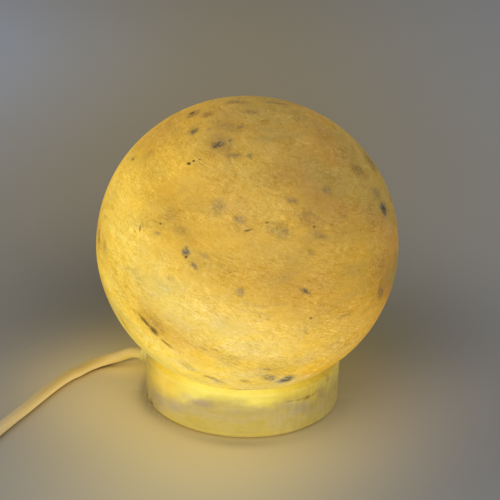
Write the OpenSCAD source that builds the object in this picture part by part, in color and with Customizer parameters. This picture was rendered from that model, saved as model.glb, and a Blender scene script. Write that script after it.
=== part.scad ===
// Salt lamp. A turned globe of rock salt sits in the dished top of a round stone base and is lit
// from inside by a small screw bulb. The cord leaves the base at the back left, and carries a rocker
// switch, a tied coil and a moulded plug. Millimetres, +Z up, origin on the surface that the lamp
// stands on, under the middle of the base, front towards -Y.

/* [Globe] */
// Widest diameter of the globe
globe_d = 160; // [154:1:166]
// Height of the globe
globe_h = 155; // [150:1:160]
// Diameter of the cavity bored up into the globe
cavity_d = 58; // [52:1:60]
// Free height in the cavity over the bulb when it is unscrewed
cavity_spare = 6; // [3:0.5:12]
// Width of the chamfer round the mouth of the cavity
mouth_chamfer = 1.2; // [0.5:0.1:2]

/* [Base] */
// Diameter of the stone base
base_d = 105; // [102:1:109]
// Height of the stone base
base_h = 24.5; // [23.5:0.5:30]
// Width of the flat rim round the dish
rim_w = 6; // [5:0.5:7]
// Chamfer along the top and bottom edges of the base
base_chamfer = 1; // [0.5:0.1:1.5]
// Diameter of the bore through the base
base_bore_d = 60; // [58:1:62]
// Thickness of the felt under the base
felt_t = 1.5; // [1:0.5:3]
// How far the felt's edge lies inside the edge of the base
felt_inset = 3; // [2:0.5:6]
// Width of the steel plate's rim outside the bore
plate_rim = 11; // [10:0.5:13]
// Thickness of the steel plate
plate_t = 1.5; // [1.2:0.1:2]

/* [Plate screws] */
// Diameter of the nylon plugs in the stone
anchor_d = 6; // [5:0.5:7]
// Stone left between the nylon plugs and the dish
anchor_cover = 2.8; // [2:0.2:6]
// Shank diameter of the screws through the plate
plate_screw_d = 3.5; // [3:0.5:4]
// Head diameter of the screws through the plate
plate_screw_head_d = 6.8; // [6:0.1:7.5]

/* [Bracket] */
// Height of the bridge bracket over the plate
bracket_h = 13; // [12:0.5:14]
// Width of the bracket's strip
bracket_w = 20; // [16:1:22]
// Length of the bracket's raised part
bracket_span = 38; // [34:1:40]
// Thickness of the bracket's strip
strip_t = 1.5; // [1:0.1:2]
// Diameter of the rivets in the bracket's feet
rivet_d = 4; // [3:0.5:4.5]
// Outer diameter of the threaded tube that carries the lampholder
tube_d = 10; // [9.5:0.5:10.5]
// Bore of the threaded tube
tube_bore_d = 8; // [7.5:0.1:8.5]
// Width across the flats of the nuts
nut_af = 14; // [13:0.5:16]
// Thickness of the nuts
nut_h = 3; // [2.5:0.1:3.5]
// Thickness of the lock washer
washer_t = 0.8; // [0.5:0.1:1.2]

/* [Lampholder] */
// Outer diameter of the lampholder
holder_d = 28; // [27.5:0.5:32]
// Height of the lampholder's cap
cap_h = 18; // [17.5:0.5:22]
// Thickness of the cap's floor, which takes the threaded tube
cap_floor = 5; // [4.5:0.5:6]
// Height of the spigot that joins the cap to the sleeve
spigot_h = 5; // [4:0.5:6]
// Wall of the sleeve
sleeve_wall = 1.6; // [1.4:0.1:2]
// Wall of the cap's spigot
spigot_wall = 1.5; // [1.2:0.1:1.8]
// Thickness of the core's floor
core_floor = 3.5; // [3:0.5:5]
// Wall of the core round the screw shell
core_wall = 2; // [1.5:0.1:2.3]
// Height of the sleeve's lip over the core
lip_h = 3.5; // [2.5:0.5:5]
// Diameter of the opening in the sleeve's lip
lip_bore_d = 18; // [16.5:0.5:19]
// Height of the centre contact's spring over the core's floor
contact_h = 2; // [1.5:0.1:3]
// Sheet thickness of the contact and the screw shell
sheet_t = 0.4; // [0.3:0.05:0.5]
// Diameter of the lampholder's terminal screws
terminal_screw_d = 2.5; // [2:0.1:2.6]
// Diameter of the grub screw that locks the lampholder
grub_d = 3; // [2.5:0.5:3.5]

/* [Bulb] */
// Largest diameter of the bulb
bulb_d = 26; // [24:1:28]
// Length of the bulb from its contact to its top
bulb_l = 54; // [52:1:60]
// Thickness of the bulb's glass
glass_t = 0.8; // [0.5:0.1:1]
// Diameter of the bulb's cap over the crests of its thread
thread_d = 13.8; // [13.6:0.05:13.9]
// Diameter of the cap at the roots of its thread
thread_root_d = 12.3; // [12.1:0.1:12.5]
// Pitch of the thread
thread_pitch = 2.822; // [2.6:0.001:3]
// Turns that the bulb is screwed in by
thread_turns = 4; // [3:0.5:4]
// Length of the cap's threaded part
thread_l = 13; // [12.5:0.5:14]
// Height of the plain collar over the thread
collar_h = 4; // [3:0.5:5]
// Outer diameter of the collar
collar_d = 14.6; // [14.4:0.1:15]

/* [Cord] */
// Outer diameter of the cord
cord_d = 6; // [5.5:0.5:6.5]
// Diameter of one insulated core in the cord
core_d = 2.2; // [2:0.1:2.4]
// Length of the tapered strain relief at the base
relief_l = 18; // [17:1:24]
// Diameter of the strain relief at its thick end
relief_d = 10; // [9:0.5:11]
// Diameter of the flange that holds the strain relief in the stone
flange_d = 12; // [11.5:0.5:13]
// Height of the plate's clamp block under the cord
clamp_floor = 4; // [3.5:0.5:4.5]
// Middle diameter of the stored coil
coil_d = 72; // [68:1:74]
// Turns in the stored coil
coil_turns = 6; // [4:1:6]
// Gap between neighbouring strands of the coil
coil_gap = 0.5; // [0.45:0.05:0.8]
// Width of the coil's tie
tie_w = 8; // [5:1:12]
// Thickness of the coil's tie
tie_t = 0.5; // [0.4:0.1:0.8]

/* [Switch] */
// Length of the inline switch
switch_l = 62; // [60:1:66]
// Width of the inline switch
switch_w = 25; // [24:1:27]
// Height of the inline switch
switch_h = 16; // [16:0.5:18]
// Wall of the switch's case
switch_wall = 1.6; // [1.4:0.1:2]
// Length of the rocker
rocker_l = 18.4; // [16:0.2:20]
// Width of the rocker
rocker_w = 11.6; // [10:0.2:12]
// Tilt of the rocker to each side of level
rocker_tilt = 8; // [5:1:9]
// Tilt of the seesaw contact to each side of level
seesaw_tilt = 6; // [4:0.5:6]
// Length of the seesaw contact
seesaw_l = 15; // [13:0.5:16]

/* [Plug] */
// Width of the plug's body
plug_w = 35; // [33:0.5:36]
// Thickness of the plug's body
plug_t = 13.7; // [13:0.1:14.5]
// Length of the plug's body
plug_l = 34; // [30:1:38]
// Diameter of the pins
pin_d = 4; // [3.9:0.05:4.1]
// Length of the pins outside the body
pin_l = 19; // [18:0.5:20]
// Distance between the pins' centres
pin_gap = 18.6; // [18:0.1:19.2]
// Diameter of the pins' insulating sleeves
pin_sleeve_d = 3.4; // [3.3:0.05:3.5]
// Length of the pins' insulating sleeves outside the body
pin_sleeve_l = 10; // [9.5:0.5:11]
// Length of the plug's strain relief
plug_relief_l = 20; // [18:1:24]

/* [Clearances] */
// Gap between pieces that move against each other
run_gap = 0.3; // [0.25:0.05:0.4]
// Gap between pieces that are fitted into each other
fit_gap = 0.05; // [0.03:0.01:0.08]
// Gap between the bulb's thread and the screw shell
thread_gap = 0.3; // [0.28:0.02:0.36]

/* [Hidden] */
$fn = 64;
thread_sides = 24;
tube_sides = 8;
coil_sides = 6;
coil_rings = 24;

// Heights of the base and the globe
plate_top = felt_t + plate_t;
plate_d = base_bore_d + 2 * plate_rim;
plate_screw_r = base_bore_d / 2 + plate_rim / 2 + 0.5;
base_top = felt_t + base_h;
seat_r = base_d / 2 - rim_w;
globe_a = globe_d / 2;
globe_c = globe_h / 2;
globe_z = base_top + (globe_c + run_gap) * sqrt(1 - pow(seat_r / (globe_a + run_gap), 2));
mouth_z = globe_z - globe_c * sqrt(1 - pow(cavity_d / 2 / globe_a, 2));
function dish_z(r) = globe_z - (globe_c + run_gap) * sqrt(1 - pow(r / (globe_a + run_gap), 2));
anchor_l = dish_z(plate_screw_r - anchor_d / 2) - anchor_cover - plate_top;

// Direction in which the cord leaves the base, and its places there
cord_angle = 157;
cord_r = cord_d / 2;
cord_bore_r = cord_r + fit_gap;
cord_z = plate_top + clamp_floor + cord_r;
cord_end_r = 12.5;
gland_in_r = base_bore_d / 2 + 1;
flange_t = 3;
flange_r = base_d / 2 - 12.5;
relief_end_r = flange_r + flange_t + relief_l;
relief_tip_r = cord_r + 0.9;

// Clamp that takes the cord's pull, on the plate
clamp_x = 13.6;
clamp_l = 11;
clamp_w = 18;
clamp_gap = 0.4;
clamp_screw_d = 3;
clamp_screw_y = 6.2;
clamp_top = cord_z + cord_r + 1.6;

// Heights of the bracket and the lampholder
bracket_top = plate_top + bracket_h;
tube_z = bracket_top - strip_t - nut_h - 0.7;
tube_r = tube_d / 2;
washer_top = bracket_top + washer_t;
holder_z = washer_top + nut_h;
tube_top = holder_z + cap_floor + 1;
sleeve_z = holder_z + cap_h;
spigot_top = sleeve_z + spigot_h;
core_top = spigot_top + core_floor;
sleeve_bore_r = holder_d / 2 - sleeve_wall;
spigot_r = sleeve_bore_r - fit_gap;
cap_bore_r = spigot_r - spigot_wall;

// Thread of the bulb's cap and of the screw shell
bulb_z = core_top + contact_h + run_gap;
tip_h = 1.4;
insulator_h = 1.9;
thread_z = bulb_z + tip_h + insulator_h + run_gap;
collar_z = thread_z + thread_l;
collar_top = collar_z + collar_h;
shell_r = thread_d / 2 + thread_gap;
shell_root_r = thread_root_d / 2 + thread_gap;
shell_top = thread_z + thread_turns * thread_pitch + 0.5;
core_bore_r = shell_r + sheet_t + fit_gap;
core_tube_r = core_bore_r + core_wall;
core_tube_top = shell_top + run_gap;
holder_top = core_tube_top + lip_h;
bulb_rise = thread_turns * thread_pitch;
bulb_top = bulb_z + bulb_l;
cavity_top = bulb_top + bulb_rise + cavity_spare;
neck_r = collar_d / 2 - sheet_t - fit_gap;
stem_top = collar_top + 10;
stem_r = 1.8;
lead_r = 0.3;
lead_spread = 6;
lead_h = 12;

// Terminals of the lampholder
block_w = 5;
block_in = 2.8;
block_l = 6.4;
block_h = 6.5;
wire_r = core_d / 2;
wire_hole_r = wire_r + fit_gap;
wire_y = block_in + block_l / 2;
stud_r = 0.9;

// Inline switch
switch_at = [-199, -95];
split_z = switch_h / 2;
pivot_z = switch_h - 2.5;
rocker_top = 4.6;
opening_l = rocker_l * cos(rocker_tilt) + 2 * rocker_top * sin(rocker_tilt) + 2 * run_gap;
opening_w = rocker_w + 2 * run_gap;
trunnion_r = 1.2;
cheek_t = 2;
plunger_r = 1.6;
plunger_reach = 8;
spring_low = 3.2;
spring_high = 0.5;
seesaw_top = pivot_z - plunger_reach - run_gap;
seesaw_t = 0.8;
seesaw_w = 5;
seesaw_z = seesaw_top - seesaw_t;
ridge_r = 0.5;
stub_l = 7;
block_x = 17;
block_y = 4.5;
grip_x = switch_l / 2 - 5;
grip_screw_y = 5.3;
boss_x = 9.6;
boss_y = switch_w / 2 - switch_wall - 2.3;
case_corner_r = 8;
case_screw_d = 2.2;
case_head_d = 4;
grip_screw_d = 1.8;
grip_t = 1.6;

// Coil, and the way that its strands run
coil_pitch = cord_d + coil_gap;
coil_layer_gap = 0.3;
coil_low_z = tie_t + coil_layer_gap + cord_r;
coil_out_r = coil_d / 2 + coil_pitch * coil_turns / 4;
coil_start = [-267, -30];
coil_mid = [coil_start.x + coil_out_r, coil_start.y];
function coil_r(t) = coil_out_r - coil_pitch * min(t, coil_turns - t);
function ease(s) = let (c = max(0, min(1, s))) c * c * (3 - 2 * c);
function coil_rise(t) = coil_pitch * ease((t - coil_turns / 2 + 0.25) / 0.5);
function coil_point(t) = [
    coil_mid.x + coil_r(t) * cos(180 - 360 * t),
    coil_mid.y + coil_r(t) * sin(180 - 360 * t),
    coil_low_z + coil_rise(t)
];
coil_top_z = coil_low_z + coil_pitch;
coil_in = [coil_start.x, coil_start.y - cord_d, coil_low_z];
coil_out = [coil_start.x, coil_start.y + cord_d, coil_top_z];
coil_steps = coil_turns * coil_rings;
coil_path = concat(
    [coil_in],
    [for (i = [0:coil_steps]) coil_point(i / coil_rings)],
    [coil_out]
);
least_gap = min([
    for (i = [0:coil_steps - 12])
        for (j = [i + 12:1:coil_steps])
            norm(coil_path[i] - coil_path[j])
]) - cord_d;
echo("least gap of the coil to itself", least_gap);

// Plug, whose cord end lies at the end of the coil's tail
plug_at = [-267, 10];
plug_z = plug_t / 2;
plug_relief_r = 5;
pin_depth = 12;
pin_core_r = 1.3;
sleeve_depth = 4;

// Cord's route over the floor: x, y and the height over where the cord lies flat
exit_dir = [cos(cord_angle), sin(cord_angle)];
run_route = [
    [-62.9, 26.4, 6.1], [-66.6, 27.2, 4.4], [-70.5, 27.2, 2.8], [-74.7, 26.9, 1.6], [-79.1, 25.5, 0.6],
    [-83.3, 22.6, 0.1], [-87.1, 18.4, 0], [-91.4, 12.1, 0], [-95.6, 6.9, 0], [-100.9, -2.6, 0],
    [-105.8, -13.3, 0], [-110.6, -24.7, 0], [-115.2, -35.6, 0], [-119.8, -45.9, 0], [-124.4, -57, 0],
    [-129.5, -69.5, 0], [-136.5, -80.5, 0.3], [-146, -89.5, 1.4], [-156, -94, 3.6]
];
link_route = [
    [-246, -93.5, 3.6], [-255, -88, 1.6], [-262, -78.5, 0.8], [-266, -67, 0.8], [-267, -55, 0.8],
    [-267, -45, 0.8]
];
tail_route = [[-267, -17, 7.3], [-267, -9, 6.5], [-267, -2, 5.2]];
function on_floor(route) = [for (p = route) [p.x, p.y, p.z + cord_r]];
function exit_at(r) = [exit_dir.x * r, exit_dir.y * r, cord_z];
switch_in = [switch_at.x + switch_l / 2, switch_at.y, split_z];
switch_out = [switch_at.x - switch_l / 2, switch_at.y, split_z];
ahead = [cord_d, 0, 0];
run_path = concat(
    [exit_at(relief_end_r), exit_at(relief_end_r + cord_r)],
    on_floor(run_route),
    [switch_in + ahead, switch_in]
);
link_path = concat([switch_out, switch_out - ahead], on_floor(link_route), [coil_in]);
plug_in = [plug_at.x, plug_at.y, plug_z];
tail_path = concat([coil_out], on_floor(tail_route), [plug_in - [0, cord_d, 0], plug_in]);

// Cores of the cord inside the base, in the frame whose X runs out along the cord
core_side = 1.25;
lamp_core_path = [
    [cord_end_r, core_side, cord_z], [cord_end_r - 0.8, core_side, cord_z], [10.6, 1.3, cord_z - 0.7],
    [8.6, 1.4, cord_z - 2.1], [6, 1.5, cord_z - 3.4], [3.2, 1.6, cord_z - 3.4],
    [1, 1.7, cord_z - 1.6], [0, 1.8, cord_z + 1.4], [0, 1.8, cord_z + 6],
    [0, 1.8, tube_top - 2], [0, 2.2, tube_top + 1], [0, 3.6, tube_top + 4],
    [0, 5.2, tube_top + 6.4], [0, wire_y, tube_top + 9], [0, wire_y, spigot_top - 3.5]
];
stub_in = switch_l / 2 - stub_l;
wire_entry_x = block_x + 2.8;
switch_live_path = [
    [stub_in, core_side, split_z], [stub_in - 0.8, core_side, split_z], [stub_in - 1.7, 2.2, split_z - 0.8],
    [stub_in - 2.7, 3.6, split_z - 2], [wire_entry_x + 0.6, block_y, split_z - 2.8],
    [wire_entry_x - 3, block_y, split_z - 2.8]
];
switch_neutral_path = [
    [stub_in, -core_side, split_z], [stub_in - 0.8, -core_side, split_z],
    [stub_in - 3, -1.9, split_z - 0.8], [stub_in - 7, -3.4, split_z - 2.6],
    [11, -4.8, split_z - 4], [0, -5, split_z - 4.2], [-11, -4.8, split_z - 4],
    [7 - stub_in, -3.4, split_z - 2.6], [3 - stub_in, -1.9, split_z - 0.8],
    [0.8 - stub_in, -core_side, split_z], [-stub_in, -core_side, split_z]
];

stone = [0.80, 0.70, 0.42];
salt = [0.85, 0.66, 0.30];
cream = [0.88, 0.85, 0.76];
brown = [0.16, 0.10, 0.07];
steel = [0.70, 0.71, 0.72];
brass = [0.78, 0.62, 0.28];
copper = [0.72, 0.45, 0.30];
nylon = [0.82, 0.82, 0.78];

// Turns its children so that X runs out of the base along the cord
module along_cord() {
    rotate([0, 0, cord_angle]) children();
}

// Oblate solid of the globe, grown by a gap
module globe_solid(gap) {
    translate([0, 0, globe_z])
        scale([1, 1, (globe_c + gap) / (globe_a + gap)])
            sphere(r = globe_a + gap, $fn = 96);
}

// Cylinder with both edges chamfered
module chamfered_disc(r, h, c) {
    rotate_extrude($fn = 96)
        polygon([[0, 0], [r - c, 0], [r, c], [r, h - c], [r - c, h], [0, h]]);
}

// Ring with a square section
module washer(r_out, r_in, h) {
    difference() {
        cylinder(r = r_out, h = h);
        translate([0, 0, -1]) cylinder(r = r_in, h = h + 2);
    }
}

// Round-headed screw along Z: its head stands on z = 0 and its shank goes down
module pan_screw(d, l, head_d, head_h) {
    slot_w = head_d * 0.18;
    translate([0, 0, -l]) cylinder(d = d, h = l);
    difference() {
        cylinder(d = head_d, h = head_h);
        translate([-head_d, -slot_w / 2, head_h * 0.5]) cube([2 * head_d, slot_w, head_h]);
    }
}

// Points of a circle in the plane square to a direction, u and v being its axes
function circle_at(c, u, v, r, n) = [
    for (s = [0:n - 1]) c + r * (cos(360 * s / n) * u + sin(360 * s / n) * v)
];
function unit(v) = v / norm(v);
function way(path, i) = unit(
    (i == 0 ? [0, 0, 0] : unit(path[i] - path[i - 1]))
    + (i == len(path) - 1 ? [0, 0, 0] : unit(path[i + 1] - path[i]))
);

// Side faces between one ring of n points and the next, in triangles
function band(a, b, n) = [
    for (s = [0:n - 1])
        for (f = [[a + s, b + (s + 1) % n, a + (s + 1) % n], [a + s, b + s, b + (s + 1) % n]]) f
];

// Tube swept along a path, with square ends; side_ref is a direction that the path never takes
module swept_tube(path, d, n, side_ref = [0, 0, 1]) {
    last = len(path) - 1;
    points = [
        for (i = [0:last])
            let (w = way(path, i), u = unit(cross(side_ref, w)), v = cross(w, u))
                each circle_at(path[i], u, v, d / 2, n)
    ];
    sides = [for (i = [0:last - 1]) each band(i * n, (i + 1) * n, n)];
    start = [for (s = [1:n - 2]) [0, s, s + 1]];
    end = [for (s = [1:n - 2]) [last * n, last * n + s + 1, last * n + s]];
    polyhedron(points, concat(sides, start, end), convexity = 10);
}

// Closed shell made of rings that go up the outside and down the inside
module ring_shell(rings, n) {
    count = len(rings);
    points = [for (ring = rings) each ring];
    faces = [for (i = [0:count - 1]) each band(i * n, ((i + 1) % count) * n, n)];
    polyhedron(points, faces, convexity = 10);
}

// Ring of a right-hand round thread at one height; depth fades to nothing at fade = 0
function thread_ring(z, crest_r, root_r) = [
    for (s = [0:thread_sides - 1])
        let (
            a = 360 * s / thread_sides,
            r = (crest_r + root_r) / 2 + (crest_r - root_r) / 2 * cos(a - 360 * z / thread_pitch)
        ) [r * cos(a), r * sin(a), z]
];
function plain_ring(z, r) = [
    for (s = [0:thread_sides - 1])
        let (a = 360 * s / thread_sides) [r * cos(a), r * sin(a), z]
];
function steps_up(z0, z1) =
    let (n = ceil((z1 - z0) / thread_pitch * 6))
        [for (i = [0:n]) z0 + (z1 - z0) * i / n];
function steps_down(z0, z1) =
    let (up = steps_up(z0, z1))
        [for (i = [len(up) - 1:-1:0]) up[i]];

// Point where a line from the neck touches the bulb's round end, as [r, z] from its centre
function touch(neck, drop, ball_r) =
    let (
        far = norm([neck, drop]),
        a = atan2(-drop, neck) + acos(ball_r / far)
    ) [ball_r * cos(a), ball_r * sin(a)];

// Solid of the bulb's outside, or of its hollow when inset by the glass
module bulb_solid(inset, neck_from) {
    ball_r = bulb_d / 2 - inset;
    neck = neck_r - inset;
    ball_z = bulb_top - bulb_d / 2;
    p = touch(neck, ball_z - collar_top, ball_r);
    translate([0, 0, ball_z]) sphere(r = ball_r);
    translate([0, 0, collar_top]) cylinder(r1 = neck, r2 = p[0], h = ball_z + p[1] - collar_top);
    translate([0, 0, neck_from]) cylinder(r = neck, h = collar_top - neck_from);
}

module globe() {
    color(salt)
    difference() {
        globe_solid(0);
        cylinder(d = cavity_d, h = cavity_top - cavity_d / 2);
        translate([0, 0, cavity_top - cavity_d / 2]) sphere(d = cavity_d);
        translate([0, 0, mouth_z - mouth_chamfer])
            cylinder(
                d1 = cavity_d + 4 * mouth_chamfer,
                d2 = cavity_d - 2 * mouth_chamfer,
                h = 3 * mouth_chamfer
            );
    }
}

module base_ring() {
    hole_r = relief_d / 2 - 0.5;
    color(stone)
    difference() {
        translate([0, 0, felt_t]) chamfered_disc(base_d / 2, base_h, base_chamfer);
        globe_solid(run_gap);
        cylinder(d = base_bore_d, h = base_top);
        cylinder(d = plate_d + 1, h = plate_top);
        along_cord() {
            translate([0, 0, cord_z]) rotate([0, 90, 0]) cylinder(r = hole_r, h = base_d);
            translate([flange_r, 0, cord_z])
                rotate([0, 90, 0]) cylinder(r = flange_d / 2 + fit_gap, h = base_d);
        }
        at_plate_screws() cylinder(d = anchor_d + 2 * fit_gap, h = plate_top + anchor_l + 0.5);
    }
}

module felt_pad() {
    color([0.77, 0.68, 0.47])
        cylinder(r = base_d / 2 - felt_inset, h = felt_t);
}

// Places of the screws that hold the plate, clear of the cord's hole
module at_plate_screws() {
    for (a = [60:120:300])
        rotate([0, 0, cord_angle + a]) translate([plate_screw_r, 0, 0]) children();
}

module at_rivets() {
    for (s = [-1, 1])
        translate([0, s * (bracket_span / 2 + rivet_d), 0]) children();
}

module base_plate() {
    head_r = plate_screw_head_d / 2 + fit_gap;
    color(steel)
    difference() {
        translate([0, 0, felt_t]) cylinder(d = plate_d, h = plate_t, $fn = 96);
        at_plate_screws()
            translate([0, 0, felt_t]) cylinder(r1 = head_r, r2 = head_r - plate_t, h = plate_t);
        at_plate_screws() cylinder(d = plate_screw_d + 2 * fit_gap, h = plate_top + 1);
        along_cord() at_rivets() cylinder(d = rivet_d, h = plate_top + 1);
    }
}

module wall_plugs() {
    color(nylon)
    at_plate_screws()
        translate([0, 0, plate_top])
            difference() {
                cylinder(d = anchor_d, h = anchor_l);
                translate([0, 0, -1]) cylinder(d = plate_screw_d + 2 * fit_gap, h = anchor_l);
            }
}

module plate_screws() {
    head_r = plate_screw_head_d / 2;
    color(steel)
    at_plate_screws()
        difference() {
            union() {
                translate([0, 0, felt_t]) cylinder(r1 = head_r, r2 = head_r - plate_t, h = plate_t);
                translate([0, 0, felt_t]) cylinder(d = plate_screw_d, h = plate_t + anchor_l - 2);
            }
            translate([-head_r, -0.4, felt_t - 0.2]) cube([2 * head_r, 0.8, 1]);
        }
}

module bracket() {
    half = bracket_span / 2;
    foot_end = sqrt(pow(base_bore_d / 2, 2) - pow(bracket_w / 2, 2)) - 1;
    color(steel)
    along_cord()
    difference() {
        union() {
            translate([-bracket_w / 2, -half, bracket_top - strip_t])
                cube([bracket_w, bracket_span, strip_t]);
            for (s = [0, 1])
                mirror([0, s, 0]) {
                    translate([-bracket_w / 2, half - strip_t, plate_top])
                        cube([bracket_w, strip_t, bracket_h]);
                    translate([-bracket_w / 2, half - strip_t, plate_top])
                        cube([bracket_w, foot_end - half + strip_t, strip_t]);
                }
        }
        cylinder(r = tube_r + fit_gap, h = bracket_top + 1);
        at_rivets() cylinder(d = rivet_d, h = plate_top + strip_t + 1);
    }
}

module bracket_rivets() {
    color(steel)
    along_cord()
    at_rivets() {
        translate([0, 0, felt_t]) cylinder(d = rivet_d, h = plate_t + strip_t);
        intersection() {
            translate([0, 0, plate_top + strip_t]) cylinder(d = rivet_d * 1.7, h = rivet_d / 2);
            translate([0, 0, plate_top + strip_t - rivet_d * 0.6]) sphere(r = rivet_d);
        }
    }
}

module threaded_tube() {
    color(steel)
    translate([0, 0, tube_z]) washer(tube_r, tube_bore_d / 2, tube_top - tube_z);
}

module tube_nut() {
    difference() {
        cylinder(r = nut_af / 2 / cos(30), h = nut_h, $fn = 6);
        translate([0, 0, -1]) cylinder(r = tube_r + fit_gap, h = nut_h + 2);
    }
}

module tube_nuts() {
    color(steel) {
        translate([0, 0, bracket_top - strip_t - nut_h]) tube_nut();
        translate([0, 0, washer_top]) tube_nut();
    }
}

module lock_washer() {
    tooth_w = 1.2;
    color(steel)
    translate([0, 0, bracket_top])
    difference() {
        washer(nut_af / 2 + 1.4, tube_r + fit_gap, washer_t);
        for (a = [0:30:330])
            rotate([0, 0, a]) translate([nut_af / 2, -tooth_w / 2, -1]) cube([3, tooth_w, washer_t + 2]);
    }
}

module holder_cap() {
    color(brown)
    difference() {
        union() {
            translate([0, 0, holder_z]) cylinder(d = holder_d, h = cap_h);
            translate([0, 0, holder_z]) cylinder(r = spigot_r, h = cap_h + spigot_h);
        }
        translate([0, 0, holder_z + cap_floor]) cylinder(r = cap_bore_r, h = cap_h + spigot_h);
        cylinder(r = tube_r + fit_gap, h = holder_z + cap_floor + 1);
        along_cord() translate([0, 0, holder_z + cap_floor / 2])
            rotate([0, 90, 0]) cylinder(r = grub_d / 2 + fit_gap, h = holder_d);
    }
}

module at_blocks() {
    for (s = [0, 1])
        mirror([0, s, 0]) children();
}

// Places of the studs that carry current through the core's floor
module at_studs() {
    translate([0, block_in + stud_r, 0]) children();
    translate([0, -(shell_root_r - 0.4), 0]) children();
}

module holder_core() {
    color([0.90, 0.88, 0.84])
    difference() {
        union() {
            translate([0, 0, spigot_top]) cylinder(r = spigot_r, h = core_floor);
            translate([0, 0, core_top]) cylinder(r = core_tube_r, h = core_tube_top - core_top);
        }
        translate([0, 0, core_top]) cylinder(r = core_bore_r, h = core_tube_top);
        along_cord() at_studs()
            translate([0, 0, spigot_top - 1]) cylinder(r = stud_r + fit_gap, h = core_floor + 2);
    }
}

module holder_sleeve() {
    color(brown)
    difference() {
        translate([0, 0, sleeve_z]) cylinder(d = holder_d, h = holder_top - sleeve_z);
        translate([0, 0, sleeve_z - 1]) cylinder(r = sleeve_bore_r, h = core_top - sleeve_z + 1 + fit_gap);
        translate([0, 0, core_top])
            cylinder(r = core_tube_r + fit_gap, h = core_tube_top - core_top + fit_gap);
        cylinder(d = lip_bore_d, h = holder_top + 1);
    }
}

module screw_shell() {
    low = core_top + sheet_t;
    color(brass)
    ring_shell(concat(
        [plain_ring(core_top, shell_root_r - 1.8), plain_ring(core_top, shell_root_r + sheet_t)],
        [for (z = steps_up(low, shell_top)) thread_ring(z, shell_r + sheet_t, shell_root_r + sheet_t)],
        [for (z = steps_down(low, shell_top)) thread_ring(z, shell_r, shell_root_r)],
        [plain_ring(low, shell_root_r - 1.8)]
    ), thread_sides);
}

module centre_contact() {
    contact_l = 7;
    contact_w = 3.4;
    color(copper)
    along_cord()
    rotate([0, 0, 90]) {
        translate([-contact_l / 2, -contact_w / 2, core_top]) cube([contact_l + 0.5, contact_w, sheet_t]);
        translate([-contact_l / 2, -contact_w / 2, core_top]) cube([sheet_t, contact_w, contact_h]);
        translate([-contact_l / 2, -contact_w / 2, core_top + contact_h - sheet_t])
            cube([contact_l - 1, contact_w, sheet_t]);
    }
}

module terminal_block() {
    translate([-block_w / 2, block_in, spigot_top - block_h]) cube([block_w, block_l, block_h]);
}

module terminal_blocks() {
    color(brass)
    along_cord()
    difference() {
        union() {
            at_blocks() terminal_block();
            at_studs() translate([0, 0, spigot_top - 1]) cylinder(r = stud_r, h = core_floor + 1);
        }
        at_blocks() {
            translate([0, wire_y, spigot_top - block_h - 1]) cylinder(r = wire_hole_r, h = block_h - 1);
            translate([0, wire_y, spigot_top - block_h / 2 - 1.2])
                rotate([-90, 0, 0]) cylinder(d = terminal_screw_d + 2 * fit_gap, h = block_l);
        }
    }
}

module terminal_screws() {
    shank = block_l / 2 - wire_r - fit_gap;
    color(steel)
    along_cord()
    at_blocks()
        translate([0, block_in + block_l, spigot_top - block_h / 2 - 1.2])
            rotate([-90, 0, 0]) pan_screw(terminal_screw_d, shank, 3.6, 0.8);
}

module grub_screw() {
    color(steel)
    along_cord()
    translate([tube_r + fit_gap, 0, holder_z + cap_floor / 2])
    rotate([0, 90, 0])
    difference() {
        cylinder(d = grub_d, h = holder_d / 2 - tube_r - 1);
        translate([-grub_d, -0.3, holder_d / 2 - tube_r - 2]) cube([2 * grub_d, 0.6, 2]);
    }
}

module bulb_glass() {
    color([0.95, 0.93, 0.88, 0.5])
    difference() {
        bulb_solid(0, collar_z);
        bulb_solid(glass_t, collar_z - 1);
    }
}

module bulb_cap() {
    wall_r = thread_root_d / 2 - sheet_t;
    color(brass)
    ring_shell(concat(
        [plain_ring(thread_z, wall_r)],
        [for (z = steps_up(thread_z, collar_z)) thread_ring(z, thread_d / 2, thread_root_d / 2)],
        [
            plain_ring(collar_z + 0.4, collar_d / 2),
            plain_ring(collar_top, collar_d / 2),
            plain_ring(collar_top, (neck_r + fit_gap) / cos(180 / thread_sides)),
            plain_ring(collar_z, (neck_r + fit_gap) / cos(180 / thread_sides)),
            plain_ring(collar_z - 0.6, wall_r)
        ]
    ), thread_sides);
}

module bulb_insulator() {
    top_r = thread_root_d / 2 - 0.4;
    color([0.06, 0.06, 0.07])
    translate([0, 0, bulb_z + tip_h])
        cylinder(r1 = top_r * 0.6, r2 = top_r, h = insulator_h);
}

module bulb_tip() {
    color(steel)
    intersection() {
        translate([0, 0, bulb_z]) cylinder(r = 2.6, h = tip_h);
        translate([0, 0, bulb_z + 4]) sphere(r = 4);
    }
}

module bulb_stem() {
    color([0.92, 0.94, 0.94, 0.6]) {
        translate([0, 0, collar_z]) cylinder(r = neck_r - glass_t - fit_gap, h = 1);
        translate([0, 0, collar_z]) cylinder(r = stem_r, h = stem_top - collar_z);
    }
}

module bulb_leads() {
    tilt = atan2(lead_spread - stem_r / 2, lead_h);
    color(steel)
    for (s = [0, 1])
        mirror([s, 0, 0])
            difference() {
                translate([stem_r / 2, 0, stem_top])
                    rotate([0, tilt, 0])
                        translate([0, 0, -0.5]) cylinder(r = lead_r, h = lead_h / cos(tilt) + 0.5);
                translate([0, 0, stem_top - 3]) cylinder(r = 3, h = 3);
            }
}

module bulb_filament() {
    curls = 12;
    curl_r = 0.55;
    reach = lead_spread - 0.2;
    arch_z = stem_top + lead_h + 1;
    path = [
        for (i = [0:curls * 6])
            let (x = -reach + 2 * reach * i / (curls * 6))
                [x, curl_r * cos(60 * i), arch_z + 1.4 * cos(90 * x / reach) + curl_r * sin(60 * i)]
    ];
    color([0.45, 0.42, 0.40])
    swept_tube(path, 0.26, 4, [0, 0, 1]);
}

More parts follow.
